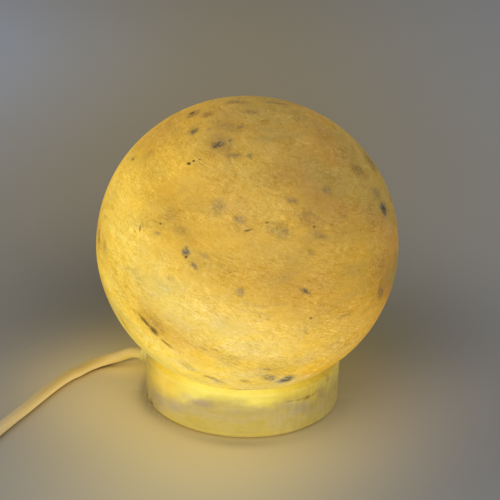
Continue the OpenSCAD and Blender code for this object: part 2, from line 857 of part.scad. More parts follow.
module live_core() {
    color([0.42, 0.24, 0.13])
    along_cord() swept_tube(lamp_core_path, core_d, tube_sides, [0, 1, 0]);
}

module neutral_core() {
    color([0.20, 0.38, 0.68])
    along_cord() mirror([0, 1, 0]) swept_tube(lamp_core_path, core_d, tube_sides, [0, 1, 0]);
}

module inner_cord() {
    color(cream)
    along_cord()
    translate([cord_end_r, 0, cord_z])
        rotate([0, 90, 0]) cylinder(d = cord_d, h = relief_end_r - cord_end_r);
}

module cord_gland() {
    body_r = relief_d / 2 - 0.5 - fit_gap;
    groove_step = 3.6;
    color(cream)
    along_cord()
    translate([0, 0, cord_z])
    rotate([0, 90, 0])
    difference() {
        union() {
            translate([0, 0, gland_in_r]) cylinder(r = body_r, h = flange_r - gland_in_r);
            translate([0, 0, flange_r]) cylinder(d = flange_d, h = flange_t);
            translate([0, 0, flange_r + flange_t])
                cylinder(r1 = relief_d / 2, r2 = relief_tip_r, h = relief_l);
        }
        translate([0, 0, gland_in_r - 1]) cylinder(r = cord_bore_r, h = relief_end_r);
        for (i = [2:4])
            translate([0, 0, flange_r + flange_t + i * groove_step])
                washer(relief_d, cord_bore_r + 0.7, 1.4);
    }
}

module clamp_half(z0, z1, screw_r) {
    along_cord()
    difference() {
        translate([clamp_x, -clamp_w / 2, z0]) cube([clamp_l, clamp_w, z1 - z0]);
        translate([0, 0, cord_z]) rotate([0, 90, 0]) cylinder(r = cord_bore_r, h = base_d);
        for (s = [-1, 1])
            translate([clamp_x + clamp_l / 2, s * clamp_screw_y, plate_top - 1])
                cylinder(r = screw_r, h = clamp_top);
    }
}

module clamp_block() {
    color(nylon) clamp_half(plate_top, cord_z - clamp_gap, clamp_screw_d / 2 + fit_gap);
}

module clamp_saddle() {
    color(nylon) clamp_half(cord_z + clamp_gap, clamp_top, clamp_screw_d / 2 + fit_gap);
}

module clamp_screws() {
    color(steel)
    along_cord()
    for (s = [-1, 1])
        translate([clamp_x + clamp_l / 2, s * clamp_screw_y, clamp_top])
            pan_screw(clamp_screw_d, clamp_top - plate_top - 1, 5, 1.2);
}

module cord_run() {
    color(cream) swept_tube(run_path, cord_d, tube_sides);
}

module at_switch() {
    translate([switch_at.x, switch_at.y, 0]) children();
}

module round_plate(l, w, r) {
    for (s = [-1, 1], t = [-1, 1])
        translate([s * (l / 2 - r), t * (w / 2 - r)]) circle(r = r);
    square([l - 2 * r, w], center = true);
    square([l, w - 2 * r], center = true);
}

// Half of the switch's case: an open box from z0 up, with its floor or roof at one side
module case_half(z0, floor_z, corner_r) {
    difference() {
        translate([0, 0, z0]) linear_extrude(split_z) round_plate(switch_l, switch_w, corner_r);
        translate([0, 0, floor_z]) linear_extrude(split_z - switch_wall + 1)
            round_plate(switch_l - 2 * switch_wall, switch_w - 2 * switch_wall, corner_r - switch_wall);
        translate([-switch_l, 0, split_z]) rotate([0, 90, 0]) cylinder(r = cord_bore_r, h = 2 * switch_l);
    }
}

module at_case_screws() {
    for (s = [-1, 1])
        translate([s * boss_x, -s * boss_y, 0]) children();
}

module at_grip_screws() {
    for (s = [-1, 1], t = [-1, 1])
        translate([s * grip_x, t * grip_screw_y, 0]) children();
}

module switch_bottom() {
    color(cream)
    at_switch()
    difference() {
        union() {
            case_half(0, switch_wall, case_corner_r);
            at_case_screws() cylinder(r = 2.5, h = split_z);
            at_grip_screws() cylinder(r = 2, h = split_z);
        }
        at_case_screws() translate([0, 0, -1]) cylinder(d = case_screw_d + 0.4, h = split_z + 2);
        at_case_screws() translate([0, 0, -1]) cylinder(d = case_head_d + 0.4, h = 3);
        at_grip_screws()
            translate([0, 0, switch_wall]) cylinder(d = grip_screw_d + 2 * fit_gap, h = split_z);
        translate([-switch_l, 0, split_z]) rotate([0, 90, 0]) cylinder(r = cord_bore_r, h = 2 * switch_l);
    }
}

module switch_top() {
    cheek_y = rocker_w / 2 + run_gap;
    trunnion_reach = cheek_y + cheek_t + run_gap;
    color(cream)
    at_switch()
    difference() {
        union() {
            case_half(split_z, split_z - 1, case_corner_r);
            for (s = [0, 1])
                mirror([0, s, 0])
                    translate([-3.5, cheek_y, pivot_z - 2.4]) cube([7, cheek_t, switch_h - pivot_z + 2]);
            at_case_screws() translate([0, 0, split_z]) cylinder(r = 2.2, h = split_z - 0.5);
        }
        translate([-opening_l / 2, -opening_w / 2, pivot_z]) cube([opening_l, opening_w, switch_h]);
        translate([0, -trunnion_reach, pivot_z])
            rotate([-90, 0, 0]) cylinder(r = trunnion_r + fit_gap, h = 2 * trunnion_reach);
        at_case_screws()
            translate([0, 0, split_z - 1]) cylinder(d = case_screw_d + 2 * fit_gap, h = split_z - 1);
    }
}

// Tilts its children about the rocker's axis, as they lie when the lamp is on
module at_rocker() {
    at_switch() translate([0, 0, pivot_z]) rotate([0, -rocker_tilt, 0]) children();
}

module rocker() {
    half = rocker_l / 2;
    stem = 5.2;
    color([0.93, 0.91, 0.84])
    at_rocker()
    difference() {
        union() {
            translate([0, rocker_w / 2, 0])
                rotate([90, 0, 0])
                    linear_extrude(rocker_w)
                        polygon([
                            [-half, 1], [-3.2, -2], [3.2, -2], [half, 1], [half, rocker_top - 0.5],
                            [half - 0.5, rocker_top], [0, 3.2], [0.5 - half, rocker_top],
                            [-half, rocker_top - 0.5]
                        ]);
            translate([-stem / 2, -stem / 2, -5]) cube([stem, stem, 4]);
            translate([0, -rocker_w / 2 - cheek_t, 0])
                rotate([-90, 0, 0]) cylinder(r = trunnion_r, h = rocker_w + 2 * cheek_t);
        }
        translate([0, 0, -6]) cylinder(r = plunger_r + fit_gap, h = 6 - spring_high);
    }
}

module rocker_plunger() {
    color(nylon)
    at_rocker()
    intersection() {
        translate([0, 0, -plunger_reach]) cylinder(r = plunger_r, h = plunger_reach - spring_low);
        union() {
            translate([0, 0, plunger_r - plunger_reach]) sphere(r = plunger_r);
            translate([0, 0, plunger_r - plunger_reach]) cylinder(r = plunger_r + 1, h = plunger_reach);
        }
    }
}

module plunger_spring() {
    curls = 4;
    wire = 0.45;
    low = wire / 2 - spring_low;
    high = -spring_high - wire / 2;
    path = [
        for (i = [0:curls * 8])
            [1.2 * cos(45 * i), 1.2 * sin(45 * i), low + (high - low) * i / (curls * 8)]
    ];
    color(steel)
    at_rocker() swept_tube(path, wire, 6);
}

module seesaw_contact() {
    color(copper)
    at_switch()
    translate([0, 0, seesaw_z])
    rotate([0, seesaw_tilt, 0]) {
        translate([-seesaw_l / 2, -seesaw_w / 2, 0]) cube([seesaw_l, seesaw_w, seesaw_t]);
        translate([0, -seesaw_w / 2, 0]) rotate([-90, 0, 0]) cylinder(r = ridge_r, h = seesaw_w);
    }
}

module switch_block(side) {
    translate([side * block_x - 2.8, block_y - 3, switch_wall]) cube([5.6, 6, split_z - 1 - switch_wall]);
}

module switch_contacts() {
    strap_t = 0.8;
    edge_top = seesaw_z - ridge_r - run_gap;
    touch_top = seesaw_z - seesaw_l / 2 * sin(seesaw_tilt) - run_gap;
    color(brass)
    at_switch()
    difference() {
        union() {
            switch_block(1);
            switch_block(-1);
            translate([-0.6, -seesaw_w / 2, switch_wall]) cube([1.2, seesaw_w, edge_top - switch_wall]);
            translate([-block_x, -seesaw_w / 2 + 1, switch_wall]) cube([block_x, seesaw_w, strap_t]);
            translate([seesaw_l / 2 - 2, -seesaw_w / 2, switch_wall])
                cube([2.5, seesaw_w, touch_top - switch_wall]);
            translate([seesaw_l / 2 - 2, -seesaw_w / 2 + 1, switch_wall])
                cube([block_x - seesaw_l / 2 + 2, seesaw_w, strap_t]);
        }
        for (s = [-1, 1])
            translate([s * (block_x - 1), block_y, split_z - 2.8]) rotate([0, s * 90, 0])
                cylinder(r = wire_hole_r, h = 10);
    }
}

module switch_wires() {
    color([0.42, 0.24, 0.13])
    at_switch() {
        swept_tube(switch_live_path, core_d, tube_sides);
        mirror([1, 0, 0]) swept_tube(switch_live_path, core_d, tube_sides);
    }
    color([0.20, 0.38, 0.68])
    at_switch() swept_tube(switch_neutral_path, core_d, tube_sides);
}

module switch_cord_ends() {
    color(cream)
    at_switch()
    for (s = [-1, 1])
        translate([s * switch_l / 2, 0, split_z]) rotate([0, -s * 90, 0]) cylinder(d = cord_d, h = stub_l);
}

module switch_grips() {
    color(nylon)
    at_switch()
    difference() {
        for (s = [-1, 1])
            translate([s * grip_x - 1.6, -7.4, split_z + cord_r]) cube([3.2, 14.8, grip_t]);
        at_grip_screws() cylinder(d = grip_screw_d + 2 * fit_gap, h = switch_h);
    }
}

module grip_screws() {
    color(steel)
    at_switch()
    at_grip_screws() translate([0, 0, split_z + cord_r + grip_t])
        pan_screw(grip_screw_d, cord_r + grip_t + split_z - switch_wall - 1, 3.2, 0.9);
}

module case_screws() {
    color(steel)
    at_switch()
    at_case_screws() translate([0, 0, 2])
        mirror([0, 0, 1]) pan_screw(case_screw_d, switch_h - 5, case_head_d, 1.4);
}

module cord_link() {
    color(cream) swept_tube(link_path, cord_d, tube_sides);
}

module cord_coil() {
    color(cream) swept_tube(coil_path, cord_d, coil_sides);
}

// Band round the coil's strands where they lie side by side
module coil_tie() {
    side_gap = 0.8;
    strands_in = coil_r(coil_turns / 2 - 0.5) - cord_r - side_gap;
    strands_out = coil_r(0.5) + cord_r + side_gap;
    reach = strands_out - strands_in;
    rise = coil_pitch + cord_d + 2 * coil_layer_gap;
    corner = cord_r * 0.8;
    color([0.12, 0.12, 0.12])
    translate([coil_mid.x + strands_in + reach / 2, coil_mid.y + tie_w / 2, tie_t + rise / 2])
    rotate([90, 0, 0])
    linear_extrude(tie_w)
    difference() {
        round_plate(reach + 2 * tie_t, rise + 2 * tie_t, corner + tie_t);
        round_plate(reach, rise, corner);
    }
}

module cord_tail() {
    color(cream) swept_tube(tail_path, cord_d, tube_sides);
}

module at_plug() {
    translate([plug_at.x, plug_at.y, plug_z]) children();
}

module plug_relief() {
    color(cream)
    at_plug()
    rotate([-90, 0, 0])
    difference() {
        cylinder(r1 = cord_r + 0.9, r2 = plug_relief_r, h = plug_relief_l);
        for (i = [1:4])
            translate([0, 0, i * 3.6]) washer(2 * plug_relief_r, cord_r + 0.3, 1.4);
    }
}

// Body with a narrow end at the cord and chamfered long edges
module plug_body() {
    shoulder = plug_l * 0.42;
    half = plug_w / 2;
    chamfer = 3;
    front = plug_relief_l + plug_l;
    color(cream)
    at_plug()
    difference() {
        intersection() {
            translate([0, 0, -plug_t / 2])
                linear_extrude(plug_t)
                    polygon([
                        [-7, plug_relief_l], [7, plug_relief_l], [half, plug_relief_l + shoulder],
                        [half, front], [-half, front], [-half, plug_relief_l + shoulder]
                    ]);
            translate([0, front + 1, 0])
                rotate([90, 0, 0])
                    linear_extrude(plug_l + 2)
                        polygon([
                            [-half, chamfer - plug_t / 2], [chamfer - half, -plug_t / 2],
                            [half - chamfer, -plug_t / 2], [half, chamfer - plug_t / 2],
                            [half, plug_t / 2 - chamfer], [half - chamfer, plug_t / 2],
                            [chamfer - half, plug_t / 2], [-half, plug_t / 2 - chamfer]
                        ]);
        }
        at_pins() {
            cylinder(r = pin_core_r + fit_gap, h = pin_depth);
            translate([0, 0, pin_depth - sleeve_depth])
                cylinder(d = pin_sleeve_d + 2 * fit_gap, h = pin_depth);
        }
    }
}

// Pins' axes, with z = 0 at their inner ends and z = pin_depth at the body's front face
module at_pins() {
    for (s = [-1, 1])
        translate([s * pin_gap / 2, plug_relief_l + plug_l - pin_depth, 0]) rotate([-90, 0, 0]) children();
}

module plug_pins() {
    round_r = 1.2;
    color(brass)
    at_plug()
    at_pins() {
        cylinder(r = pin_core_r, h = pin_depth + pin_sleeve_l);
        translate([0, 0, pin_depth + pin_sleeve_l]) cylinder(d = pin_d, h = pin_l - pin_sleeve_l - round_r);
        translate([0, 0, pin_depth + pin_l - round_r])
            cylinder(r1 = pin_d / 2, r2 = pin_d / 2 - round_r * 0.7, h = round_r);
    }
}

module pin_sleeves() {
    color([0.10, 0.10, 0.10])
    at_plug()
    at_pins()
        translate([0, 0, pin_depth - sleeve_depth])
            washer(pin_sleeve_d / 2, pin_core_r + fit_gap, sleeve_depth + pin_sleeve_l);
}

globe();
base_ring();
felt_pad();
base_plate();
wall_plugs();
plate_screws();
bracket();
bracket_rivets();
threaded_tube();
tube_nuts();
lock_washer();
holder_cap();
holder_core();
holder_sleeve();
screw_shell();
centre_contact();
terminal_blocks();
terminal_screws();
grub_screw();
bulb_glass();
bulb_cap();
bulb_insulator();
bulb_tip();
bulb_stem();
bulb_leads();
bulb_filament();
live_core();
neutral_core();
inner_cord();
cord_gland();
clamp_block();
clamp_saddle();
clamp_screws();
cord_run();
switch_bottom();
switch_top();
rocker();
rocker_plunger();
plunger_spring();
seesaw_contact();
switch_contacts();
switch_wires();
switch_cord_ends();
switch_grips();
grip_screws();
case_screws();
cord_link();
cord_coil();
coil_tie();
cord_tail();
plug_relief();
plug_body();
plug_pins();
pin_sleeves();
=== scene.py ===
"""Looks of a salt lamp: a glowing turned globe on a stone base, with its cord, switch and plug.

Metres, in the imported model's frame. The pieces that the model shapes well keep their solids and get a
finish. The globe, the cords, the top and rocker of the switch and the plug's body are worked out here,
in the same places, with finer surfaces.
"""

import math
from functools import reduce

import bmesh
import bpy
import numpy as np
from mathutils import Matrix, Vector


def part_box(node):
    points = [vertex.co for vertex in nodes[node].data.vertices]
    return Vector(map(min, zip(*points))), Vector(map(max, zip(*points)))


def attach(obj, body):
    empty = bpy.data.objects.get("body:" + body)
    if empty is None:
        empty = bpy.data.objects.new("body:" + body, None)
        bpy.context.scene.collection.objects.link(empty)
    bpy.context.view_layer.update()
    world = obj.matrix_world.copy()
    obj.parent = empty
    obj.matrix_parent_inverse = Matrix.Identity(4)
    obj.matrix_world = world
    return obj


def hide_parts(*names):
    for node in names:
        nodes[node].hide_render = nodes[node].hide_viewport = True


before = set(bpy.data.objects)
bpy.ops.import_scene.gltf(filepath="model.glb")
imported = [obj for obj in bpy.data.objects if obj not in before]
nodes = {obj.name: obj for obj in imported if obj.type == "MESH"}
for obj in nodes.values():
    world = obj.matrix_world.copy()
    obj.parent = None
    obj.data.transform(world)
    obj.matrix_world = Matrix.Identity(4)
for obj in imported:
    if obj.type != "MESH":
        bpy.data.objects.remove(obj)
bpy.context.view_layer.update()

# Globe
GLOBE_LOW, GLOBE_HIGH = (np.array(corner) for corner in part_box("globe"))
GLOBE_A = (GLOBE_HIGH[0] - GLOBE_LOW[0]) / 2
GLOBE_C = 0.0775
GLOBE_Z = GLOBE_HIGH[2] - GLOBE_C
CAVITY_R = 0.029
MOUTH_CHAMFER = 0.0012
BULB_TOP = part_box("bulb_glass")[1].z
BULB_RISE = 0.011288
ROOM_OVER_BULB = 0.006
CAVITY_TOP = BULB_TOP + BULB_RISE + ROOM_OVER_BULB

# Base
BASE_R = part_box("base_ring")[1].x

# Camera, in pixels of the 500 by 500 picture where a value is one
PICTURE = 500
PITCH = math.radians(22.32)
ROLL = math.radians(2.35)
FOCAL_PX = 1699
CENTRE_PX = (247.5, 242.7)
DISTANCE = 0.9
TARGET = Vector((0, 0, 0.0896))
EYE = TARGET + DISTANCE * Vector((0, -math.cos(PITCH), math.sin(PITCH)))

# Cord
CORD_D = 0.006
CORD_R = CORD_D / 2
EXIT_ANGLE = math.radians(157)
EXIT_R = 0.061
EXIT_Z = 0.010
COIL_START = Vector((-0.267, -0.030, 0.0038))
COIL_TURNS = 6
COIL_PITCH = 0.0065
COIL_MIDDLE_R = 0.036
COIL_OUT_R = COIL_MIDDLE_R + COIL_PITCH * COIL_TURNS / 4
PLUG_AT = Vector((-0.267, 0.010, 0.00685))
# Routes over the floor, with heights counted from where the cord's middle lies when it rests there. The first
# eight points of RUN_ROUTE were solved by a scratch program, and the next seven were carried from places read
# in the picture to the floor by one. The other points were chosen one by one.
RUN_ROUTE = [
    (-0.0629, 0.0264, 0.0061), (-0.0666, 0.0272, 0.0044), (-0.0705, 0.0272, 0.0028),
    (-0.0747, 0.0269, 0.0016), (-0.0791, 0.0255, 0.0006), (-0.0833, 0.0226, 0.0001), (-0.0871, 0.0184, 0),
    (-0.0914, 0.0121, 0), (-0.0956, 0.0069, 0), (-0.1009, -0.0026, 0), (-0.1058, -0.0133, 0),
    (-0.1106, -0.0247, 0), (-0.1152, -0.0356, 0), (-0.1198, -0.0459, 0), (-0.1244, -0.057, 0),
    (-0.1295, -0.0695, 0), (-0.1365, -0.0805, 0.0003), (-0.146, -0.0895, 0.0014), (-0.156, -0.094, 0.0036),
]
LINK_ROUTE = [
    (-0.246, -0.0935, 0.0036), (-0.255, -0.088, 0.0016), (-0.262, -0.0785, 0.0008),
    (-0.266, -0.067, 0.0008), (-0.267, -0.055, 0.0008), (-0.267, -0.045, 0.0008),
]
TAIL_ROUTE = [(-0.267, -0.017, 0.0073), (-0.267, -0.009, 0.0065), (-0.267, -0.002, 0.0052)]

# Switch
SWITCH_AT = Vector((-0.199, -0.095, 0.008))
SWITCH_HALF = 0.031
SWITCH_SEAM = 0.008
ROCKER_OPENING = (0.01005, 0.0061)
ROCKER_PIVOT = Vector((-0.199, -0.095, 0.0135))
ROCKER_TILT = math.radians(8)

# Marks on the globe: x and y in the picture, half length, half width, turn below level, strength.
# Lengths are in pixels of the picture.
BLUE_MARKS = [
    (193.5, 131, 6, 3.5, -40, 0.8), (209, 129.5, 3, 2, 0, 0.5), (240.5, 127, 3.5, 2, -30, 0.6),
    (217.5, 144.5, 6.5, 4, -20, 1.0), (230.5, 140, 2.5, 1.5, -30, 0.6), (235, 155.5, 8, 3, 0, 0.5),
    (250, 155.5, 3.5, 3, 0, 0.6), (218.5, 205.5, 9, 8, 0, 0.4), (239.5, 219.5, 7, 3.5, 12, 0.5),
    (279, 231, 15, 9, 20, 0.42), (292, 200.5, 7, 4, 12, 0.5), (321, 235.5, 8, 4, 25, 0.42),
    (328, 190.5, 6, 4, 30, 0.4), (311, 252, 5, 3, 40, 0.4), (376.5, 193, 8, 4, 75, 0.45),
    (383.8, 208.5, 8, 3.2, 72, 1.0), (186, 251.8, 5, 3.8, 90, 1.0), (193.7, 266, 6, 2.6, 50, 0.85),
    (170.5, 279, 4, 4, 0, 0.3), (240.8, 292, 5, 4, 0, 0.6), (305, 291.5, 6, 2.8, 35, 0.85),
    (381, 292, 6, 2.6, 80, 0.6), (157.3, 233, 5, 2.6, 20, 0.45), (269.8, 378.4, 6, 2.4, 25, 0.8),
    (285.9, 380, 8, 3.4, -6, 1.0), (204, 256, 7, 3, 25, 0.3), (228, 360, 16, 6, 15, 0.25),
]
BROWN_MARKS = [
    (193, 113.7, 7, 3, -15, 0.9), (208.5, 114, 7, 3, -10, 0.7), (236.5, 102, 12, 2, 0, 0.7),
    (276, 103, 13, 1.6, 8, 0.7), (251, 112, 9, 1.8, 2, 0.5), (228.5, 126, 17, 7, 5, 0.4),
    (219, 138, 12, 7, 0, 0.3), (148.3, 154, 8, 3, -35, 0.4), (168.3, 215.6, 11, 7, 0, 0.4),
    (182, 230, 9, 5, 20, 0.4), (309, 218.5, 16, 9, 15, 0.45), (359, 170.5, 11, 4, 30, 0.7),
    (370.3, 160, 10, 5, 52, 0.7), (391, 199, 6, 1.5, 76, 0.8), (98.5, 237, 8, 2, 90, 0.8),
    (104, 245, 6, 2, 80, 0.5), (152, 321, 20, 6, 45, 0.4), (345, 316, 6, 2, -10, 0.5),
    (306, 333, 3, 1.6, 60, 0.5), (202.5, 349, 8, 1.1, 20, 0.6), (214.5, 350.5, 5, 1, 20, 0.5),
    (186.5, 366, 12, 2, 35, 0.45), (210.5, 378, 10, 1.3, 15, 0.8), (218.5, 381.5, 9, 1.2, 17, 0.7),
    (239.7, 389.4, 12, 1, 3, 0.8), (244.7, 381.5, 5, 1.4, 15, 0.7), (266.8, 369.5, 8, 1.1, 10, 0.6),
    (124, 324, 10, 1.2, 60, 0.5), (272, 175, 30, 14, 10, 0.25), (330, 140, 26, 14, 35, 0.2),
]
DARK_MARKS = [
    (188.8, 163.6, 2.2, 1.4, 0, 1.0), (193.6, 160.8, 1.5, 1, 0, 1.0), (199.6, 159.2, 0.9, 0.9, 0, 1.0),
    (145, 322, 11, 1.5, 47, 0.75), (153.5, 331, 7, 2.2, 48, 0.8), (166, 343.5, 8, 1.1, 38, 0.6),
    (217, 145.2, 3.4, 1.6, -20, 0.5),
    (186, 257, 1.6, 1.6, 0, 0.9), (248, 230.5, 3.6, 1.2, -10, 0.7), (266.8, 222.6, 2.4, 1, 10, 0.7),
    (314.6, 226.7, 1.6, 1.4, 0, 0.8), (139.8, 228.5, 4, 0.9, 100, 0.6), (160.3, 223.7, 1.2, 1.2, 0, 0.8),
    (384.3, 210, 4.6, 1.4, 72, 0.6), (286, 380.5, 5, 1.4, -6, 0.5), (311, 318.3, 1.4, 1.2, 0, 0.7),
    (192, 113, 3, 1, -20, 0.6), (132.7, 159, 1, 1, 0, 0.8), (306, 292.5, 3, 1, 35, 0.5),
]
# Marks on the base, in the same terms
BASE_GREY_MARKS = [
    (202, 403, 12, 4, 12, 0.7), (186, 396, 8, 3, 20, 0.5), (250, 412, 26, 4, 0, 0.35),
    (320, 392, 5, 5, -50, 0.7), (172, 404, 10, 6, 20, 0.3), (305, 408, 12, 5, -20, 0.3),
    (157, 402, 16, 7, 75, 0.6),
]
BASE_BROWN_MARKS = [
    (151.5, 403, 5, 2, 80, 0.85), (147.5, 400, 16, 2.2, 85, 0.8), (308, 397, 5, 1.6, -30, 0.75),
    (301, 399.5, 5, 1, -15, 0.6), (314.5, 392.5, 5, 1, -45, 0.6), (290, 401.5, 4, 0.9, -12, 0.4),
    (157, 416, 6, 1.6, 45, 0.5), (328, 379, 8, 1.2, -80, 0.35),
]


# Objects

def shown(name, data):
    """New object of the scene, of a mesh, camera or lamp."""
    made = bpy.data.objects.new(name, data)
    bpy.context.scene.collection.objects.link(made)
    return made


def vectors(items, name):
    """Array of a vector that each item of a mesh has."""
    values = np.empty(len(items) * 3)
    items.foreach_get(name, values)
    return values.reshape(-1, 3)


def paint(mesh, name, colours):
    """Gives a mesh a colour attribute, with one colour for each point."""
    layer = mesh.color_attributes.new(name, "FLOAT_COLOR", "POINT")
    layer.data.foreach_set("color", np.hstack((colours, np.ones((len(colours), 1)))).ravel())


def quad_mesh(name, points, faces):
    """Mesh of an array of points and one of four-sided faces."""
    mesh = bpy.data.meshes.new(name)
    mesh.from_pydata(points.reshape(-1, 3).tolist(), [], faces.reshape(-1, 4).tolist())
    return mesh


# Camera

def view_axes():
    """Right, up and forward of the camera: level right, turned up by the roll about the line of sight."""
    forward = (TARGET - EYE).normalized()
    level = Vector((1, 0, 0))
    rise = level.cross(forward)
    right = math.cos(ROLL) * level + math.sin(ROLL) * rise
    up = math.cos(ROLL) * rise - math.sin(ROLL) * level
    return right, up, forward


def add_camera():
    """Pinhole of the fitted focal length, whose middle is shifted by the fitted centre of the picture."""
    data = bpy.data.cameras.new("camera")
    data.sensor_width = 36
    data.lens = 36 * FOCAL_PX / PICTURE
    data.shift_x = (PICTURE / 2 - CENTRE_PX[0]) / PICTURE
    data.shift_y = (CENTRE_PX[1] - PICTURE / 2) / PICTURE
    data.clip_start = 0.05
    data.clip_end = 20
    camera = shown("camera", data)
    right, up, forward = view_axes()
    turn = Matrix((right, up, -forward)).transposed().to_4x4()
    camera.matrix_world = Matrix.Translation(EYE) @ turn
    bpy.context.scene.camera = camera


def line_of_sight(x, y):
    """Direction from the eye through a place in the picture."""
    right, up, forward = (np.array(axis) for axis in view_axes())
    return forward + right * ((x - CENTRE_PX[0]) / FOCAL_PX) - up * ((y - CENTRE_PX[1]) / FOCAL_PX)


def seen_on_oval(x, y, half, middle):
    """Point of an oval's front that shows at a place in the picture: where the line of sight meets it.

    A place beyond the outline gives the point of the outline that is nearest to it. With an endless half
    height the oval is an upright drum. The second value is the way that the surface faces there.
    """
    start = (np.array(EYE) - middle) / half
    step = line_of_sight(x, y) / half
    nearest_share = -start.dot(step) / step.dot(step)
    under_root = nearest_share ** 2 - (start.dot(start) - 1) / step.dot(step)
    met = start + step * (nearest_share - math.sqrt(max(under_root, 0)))
    met /= np.linalg.norm(met)
    facing = met / half
    return met * half + middle, facing / np.linalg.norm(facing)


# Half sizes and middle of the globe, and of the upright drum that the base is
GLOBE_OVAL = (np.array((GLOBE_A, GLOBE_A, GLOBE_C)), np.array((0, 0, GLOBE_Z)))
BASE_OVAL = (np.array((BASE_R, BASE_R, 1e3)), np.zeros(3))


# Surfaces

SAME_POINT = 1e-7


def surface(name, points, closed_along=False):
    """Mesh of a grid of points, rows along a profile and columns round it, with squares between them."""
    rows, columns = points.shape[:2]
    index = np.arange(rows * columns).reshape(rows, columns)
    after = np.roll(index, -1, axis=0) if closed_along else index[1:]
    here = index if closed_along else index[:-1]
    faces = np.stack((here, np.roll(here, -1, axis=1), np.roll(after, -1, axis=1), after), axis=-1)
    mesh = quad_mesh(name, points, faces)
    clean(mesh)
    return shown(name, mesh)


def clean(mesh):
    """Merges points that coincide, as at a pole, and turns all the faces outwards."""
    work = bmesh.new()
    work.from_mesh(mesh)
    bmesh.ops.remove_doubles(work, verts=work.verts, dist=SAME_POINT)
    bmesh.ops.recalc_face_normals(work, faces=work.faces)
    work.to_mesh(mesh)
    work.free()
    mesh.shade_smooth()


def full_turn(count):
    """Angles evenly round a full turn."""
    return np.linspace(0, 2 * np.pi, count, endpoint=False)


def turned(profile, columns):
    """Points of a profile of (radius, height) pairs turned round the Z axis."""
    angle = full_turn(columns)
    radius, height = profile[:, 0, None], profile[:, 1, None]
    return np.stack((radius * np.cos(angle), radius * np.sin(angle), height + 0 * angle), axis=-1)


def smooth_path(points, step):
    """Curve through the points: between each two, the cubic whose slopes are half the chord beside them.

    It sinks no lower than the points do, so that a cord on the floor stays on it.
    """
    given = np.array(points, float)
    ends = np.vstack((2 * given[0] - given[1], given, 2 * given[-1] - given[-2]))
    before, first, second, after = ends[:-3], ends[1:-2], ends[2:-1], ends[3:]
    chord = np.linalg.norm(second - first, axis=1)
    share = [np.linspace(0, 1, max(2, math.ceil(c / step)), endpoint=False) for c in chord]
    piece = np.repeat(np.arange(len(chord)), [len(s) for s in share])
    t = np.concatenate(share)[:, None]
    slope_a, slope_b = (second - before)[piece] / 2, (after - first)[piece] / 2
    a, b = first[piece], second[piece]
    rise = 3 * t ** 2 - 2 * t ** 3
    curve = a + (b - a) * rise + slope_a * (t - 2 * t ** 2 + t ** 3) + slope_b * (t ** 3 - t ** 2)
    path = np.vstack((curve, given[-1]))
    path[:, 2] = np.maximum(path[:, 2], given[:, 2].min())
    return path


def tube(name, path, radius, sides):
    """Tube round a path: at each point a circle square to the way there, with closed ends."""
    way = np.gradient(path, axis=0)
    way /= np.linalg.norm(way, axis=1, keepdims=True)
    side = np.cross((0, 0, 1), way)
    side /= np.linalg.norm(side, axis=1, keepdims=True)
    over = np.cross(way, side)
    angle = full_turn(sides)[:, None]
    rings = path[:, None] + radius * (np.cos(angle) * side[:, None] + np.sin(angle) * over[:, None])
    start, end = np.repeat(path[:1, None], sides, axis=1), np.repeat(path[-1:, None], sides, axis=1)
    return surface(name, np.concatenate((start, rings, end)))


# Cords

def exit_point(radius):
    """Point on the line by which the cord leaves the base."""
    return (math.cos(EXIT_ANGLE) * radius, math.sin(EXIT_ANGLE) * radius, EXIT_Z)


def on_floor(route):
    """Route with its heights counted from where the cord's middle lies when it rests on the floor."""
    return [(x, y, lift + CORD_R) for x, y, lift in route]


def coil_points(per_turn):
    """Coil in two layers: it winds inwards by a pitch a turn, steps up in the middle, and winds out."""
    turn = np.linspace(0, COIL_TURNS, COIL_TURNS * per_turn + 1)
    radius = COIL_OUT_R - COIL_PITCH * np.minimum(turn, COIL_TURNS - turn)
    angle = np.pi - 2 * np.pi * turn
    share = np.clip((turn - COIL_TURNS / 2 + 0.25) / 0.5, 0, 1)
    rise = COIL_PITCH * share ** 2 * (3 - 2 * share)
    middle = COIL_START + Vector((COIL_OUT_R, 0, 0))
    return np.stack((
        middle.x + radius * np.cos(angle), middle.y + radius * np.sin(angle), middle.z + rise
    ), axis=-1)


CORD_STEP = 0.0015
COIL_POINTS_PER_TURN = 48


def add_cords(switch_top, rocker, plug_body):
    """The cord from the base to the switch, and the one from the switch through the coil to the plug."""
    near, far = SWITCH_AT + Vector((SWITCH_HALF, 0, 0)), SWITCH_AT - Vector((SWITCH_HALF, 0, 0))
    ahead = Vector((CORD_D, 0, 0))
    run = [exit_point(EXIT_R), exit_point(EXIT_R + CORD_R)] + on_floor(RUN_ROUTE) + [near + ahead, near]
    run_path = smooth_path(run, CORD_STEP)
    run_piece = tube("flex_to_switch", run_path, CORD_R, 24)
    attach(run_piece, "base")
    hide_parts("cord_run")

    back = Vector((0, CORD_D, 0))
    top = COIL_START + Vector((0, 0, COIL_PITCH))
    link = [far, far - ahead] + on_floor(LINK_ROUTE) + [COIL_START - back]
    tail = [top + back] + on_floor(TAIL_ROUTE) + [PLUG_AT - back, PLUG_AT]
    route = [tuple(p) for p in (*link, *coil_points(COIL_POINTS_PER_TURN), *tail)]
    store_path = smooth_path(route, 2 * CORD_STEP)
    store_piece = tube("flex_to_plug", store_path, CORD_R, 20)
    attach(store_piece, "base")
    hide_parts("cord_link", "cord_coil", "cord_tail")

    return [run_piece, store_piece]


# Switch and plug

OBLONG_POINTS = 96


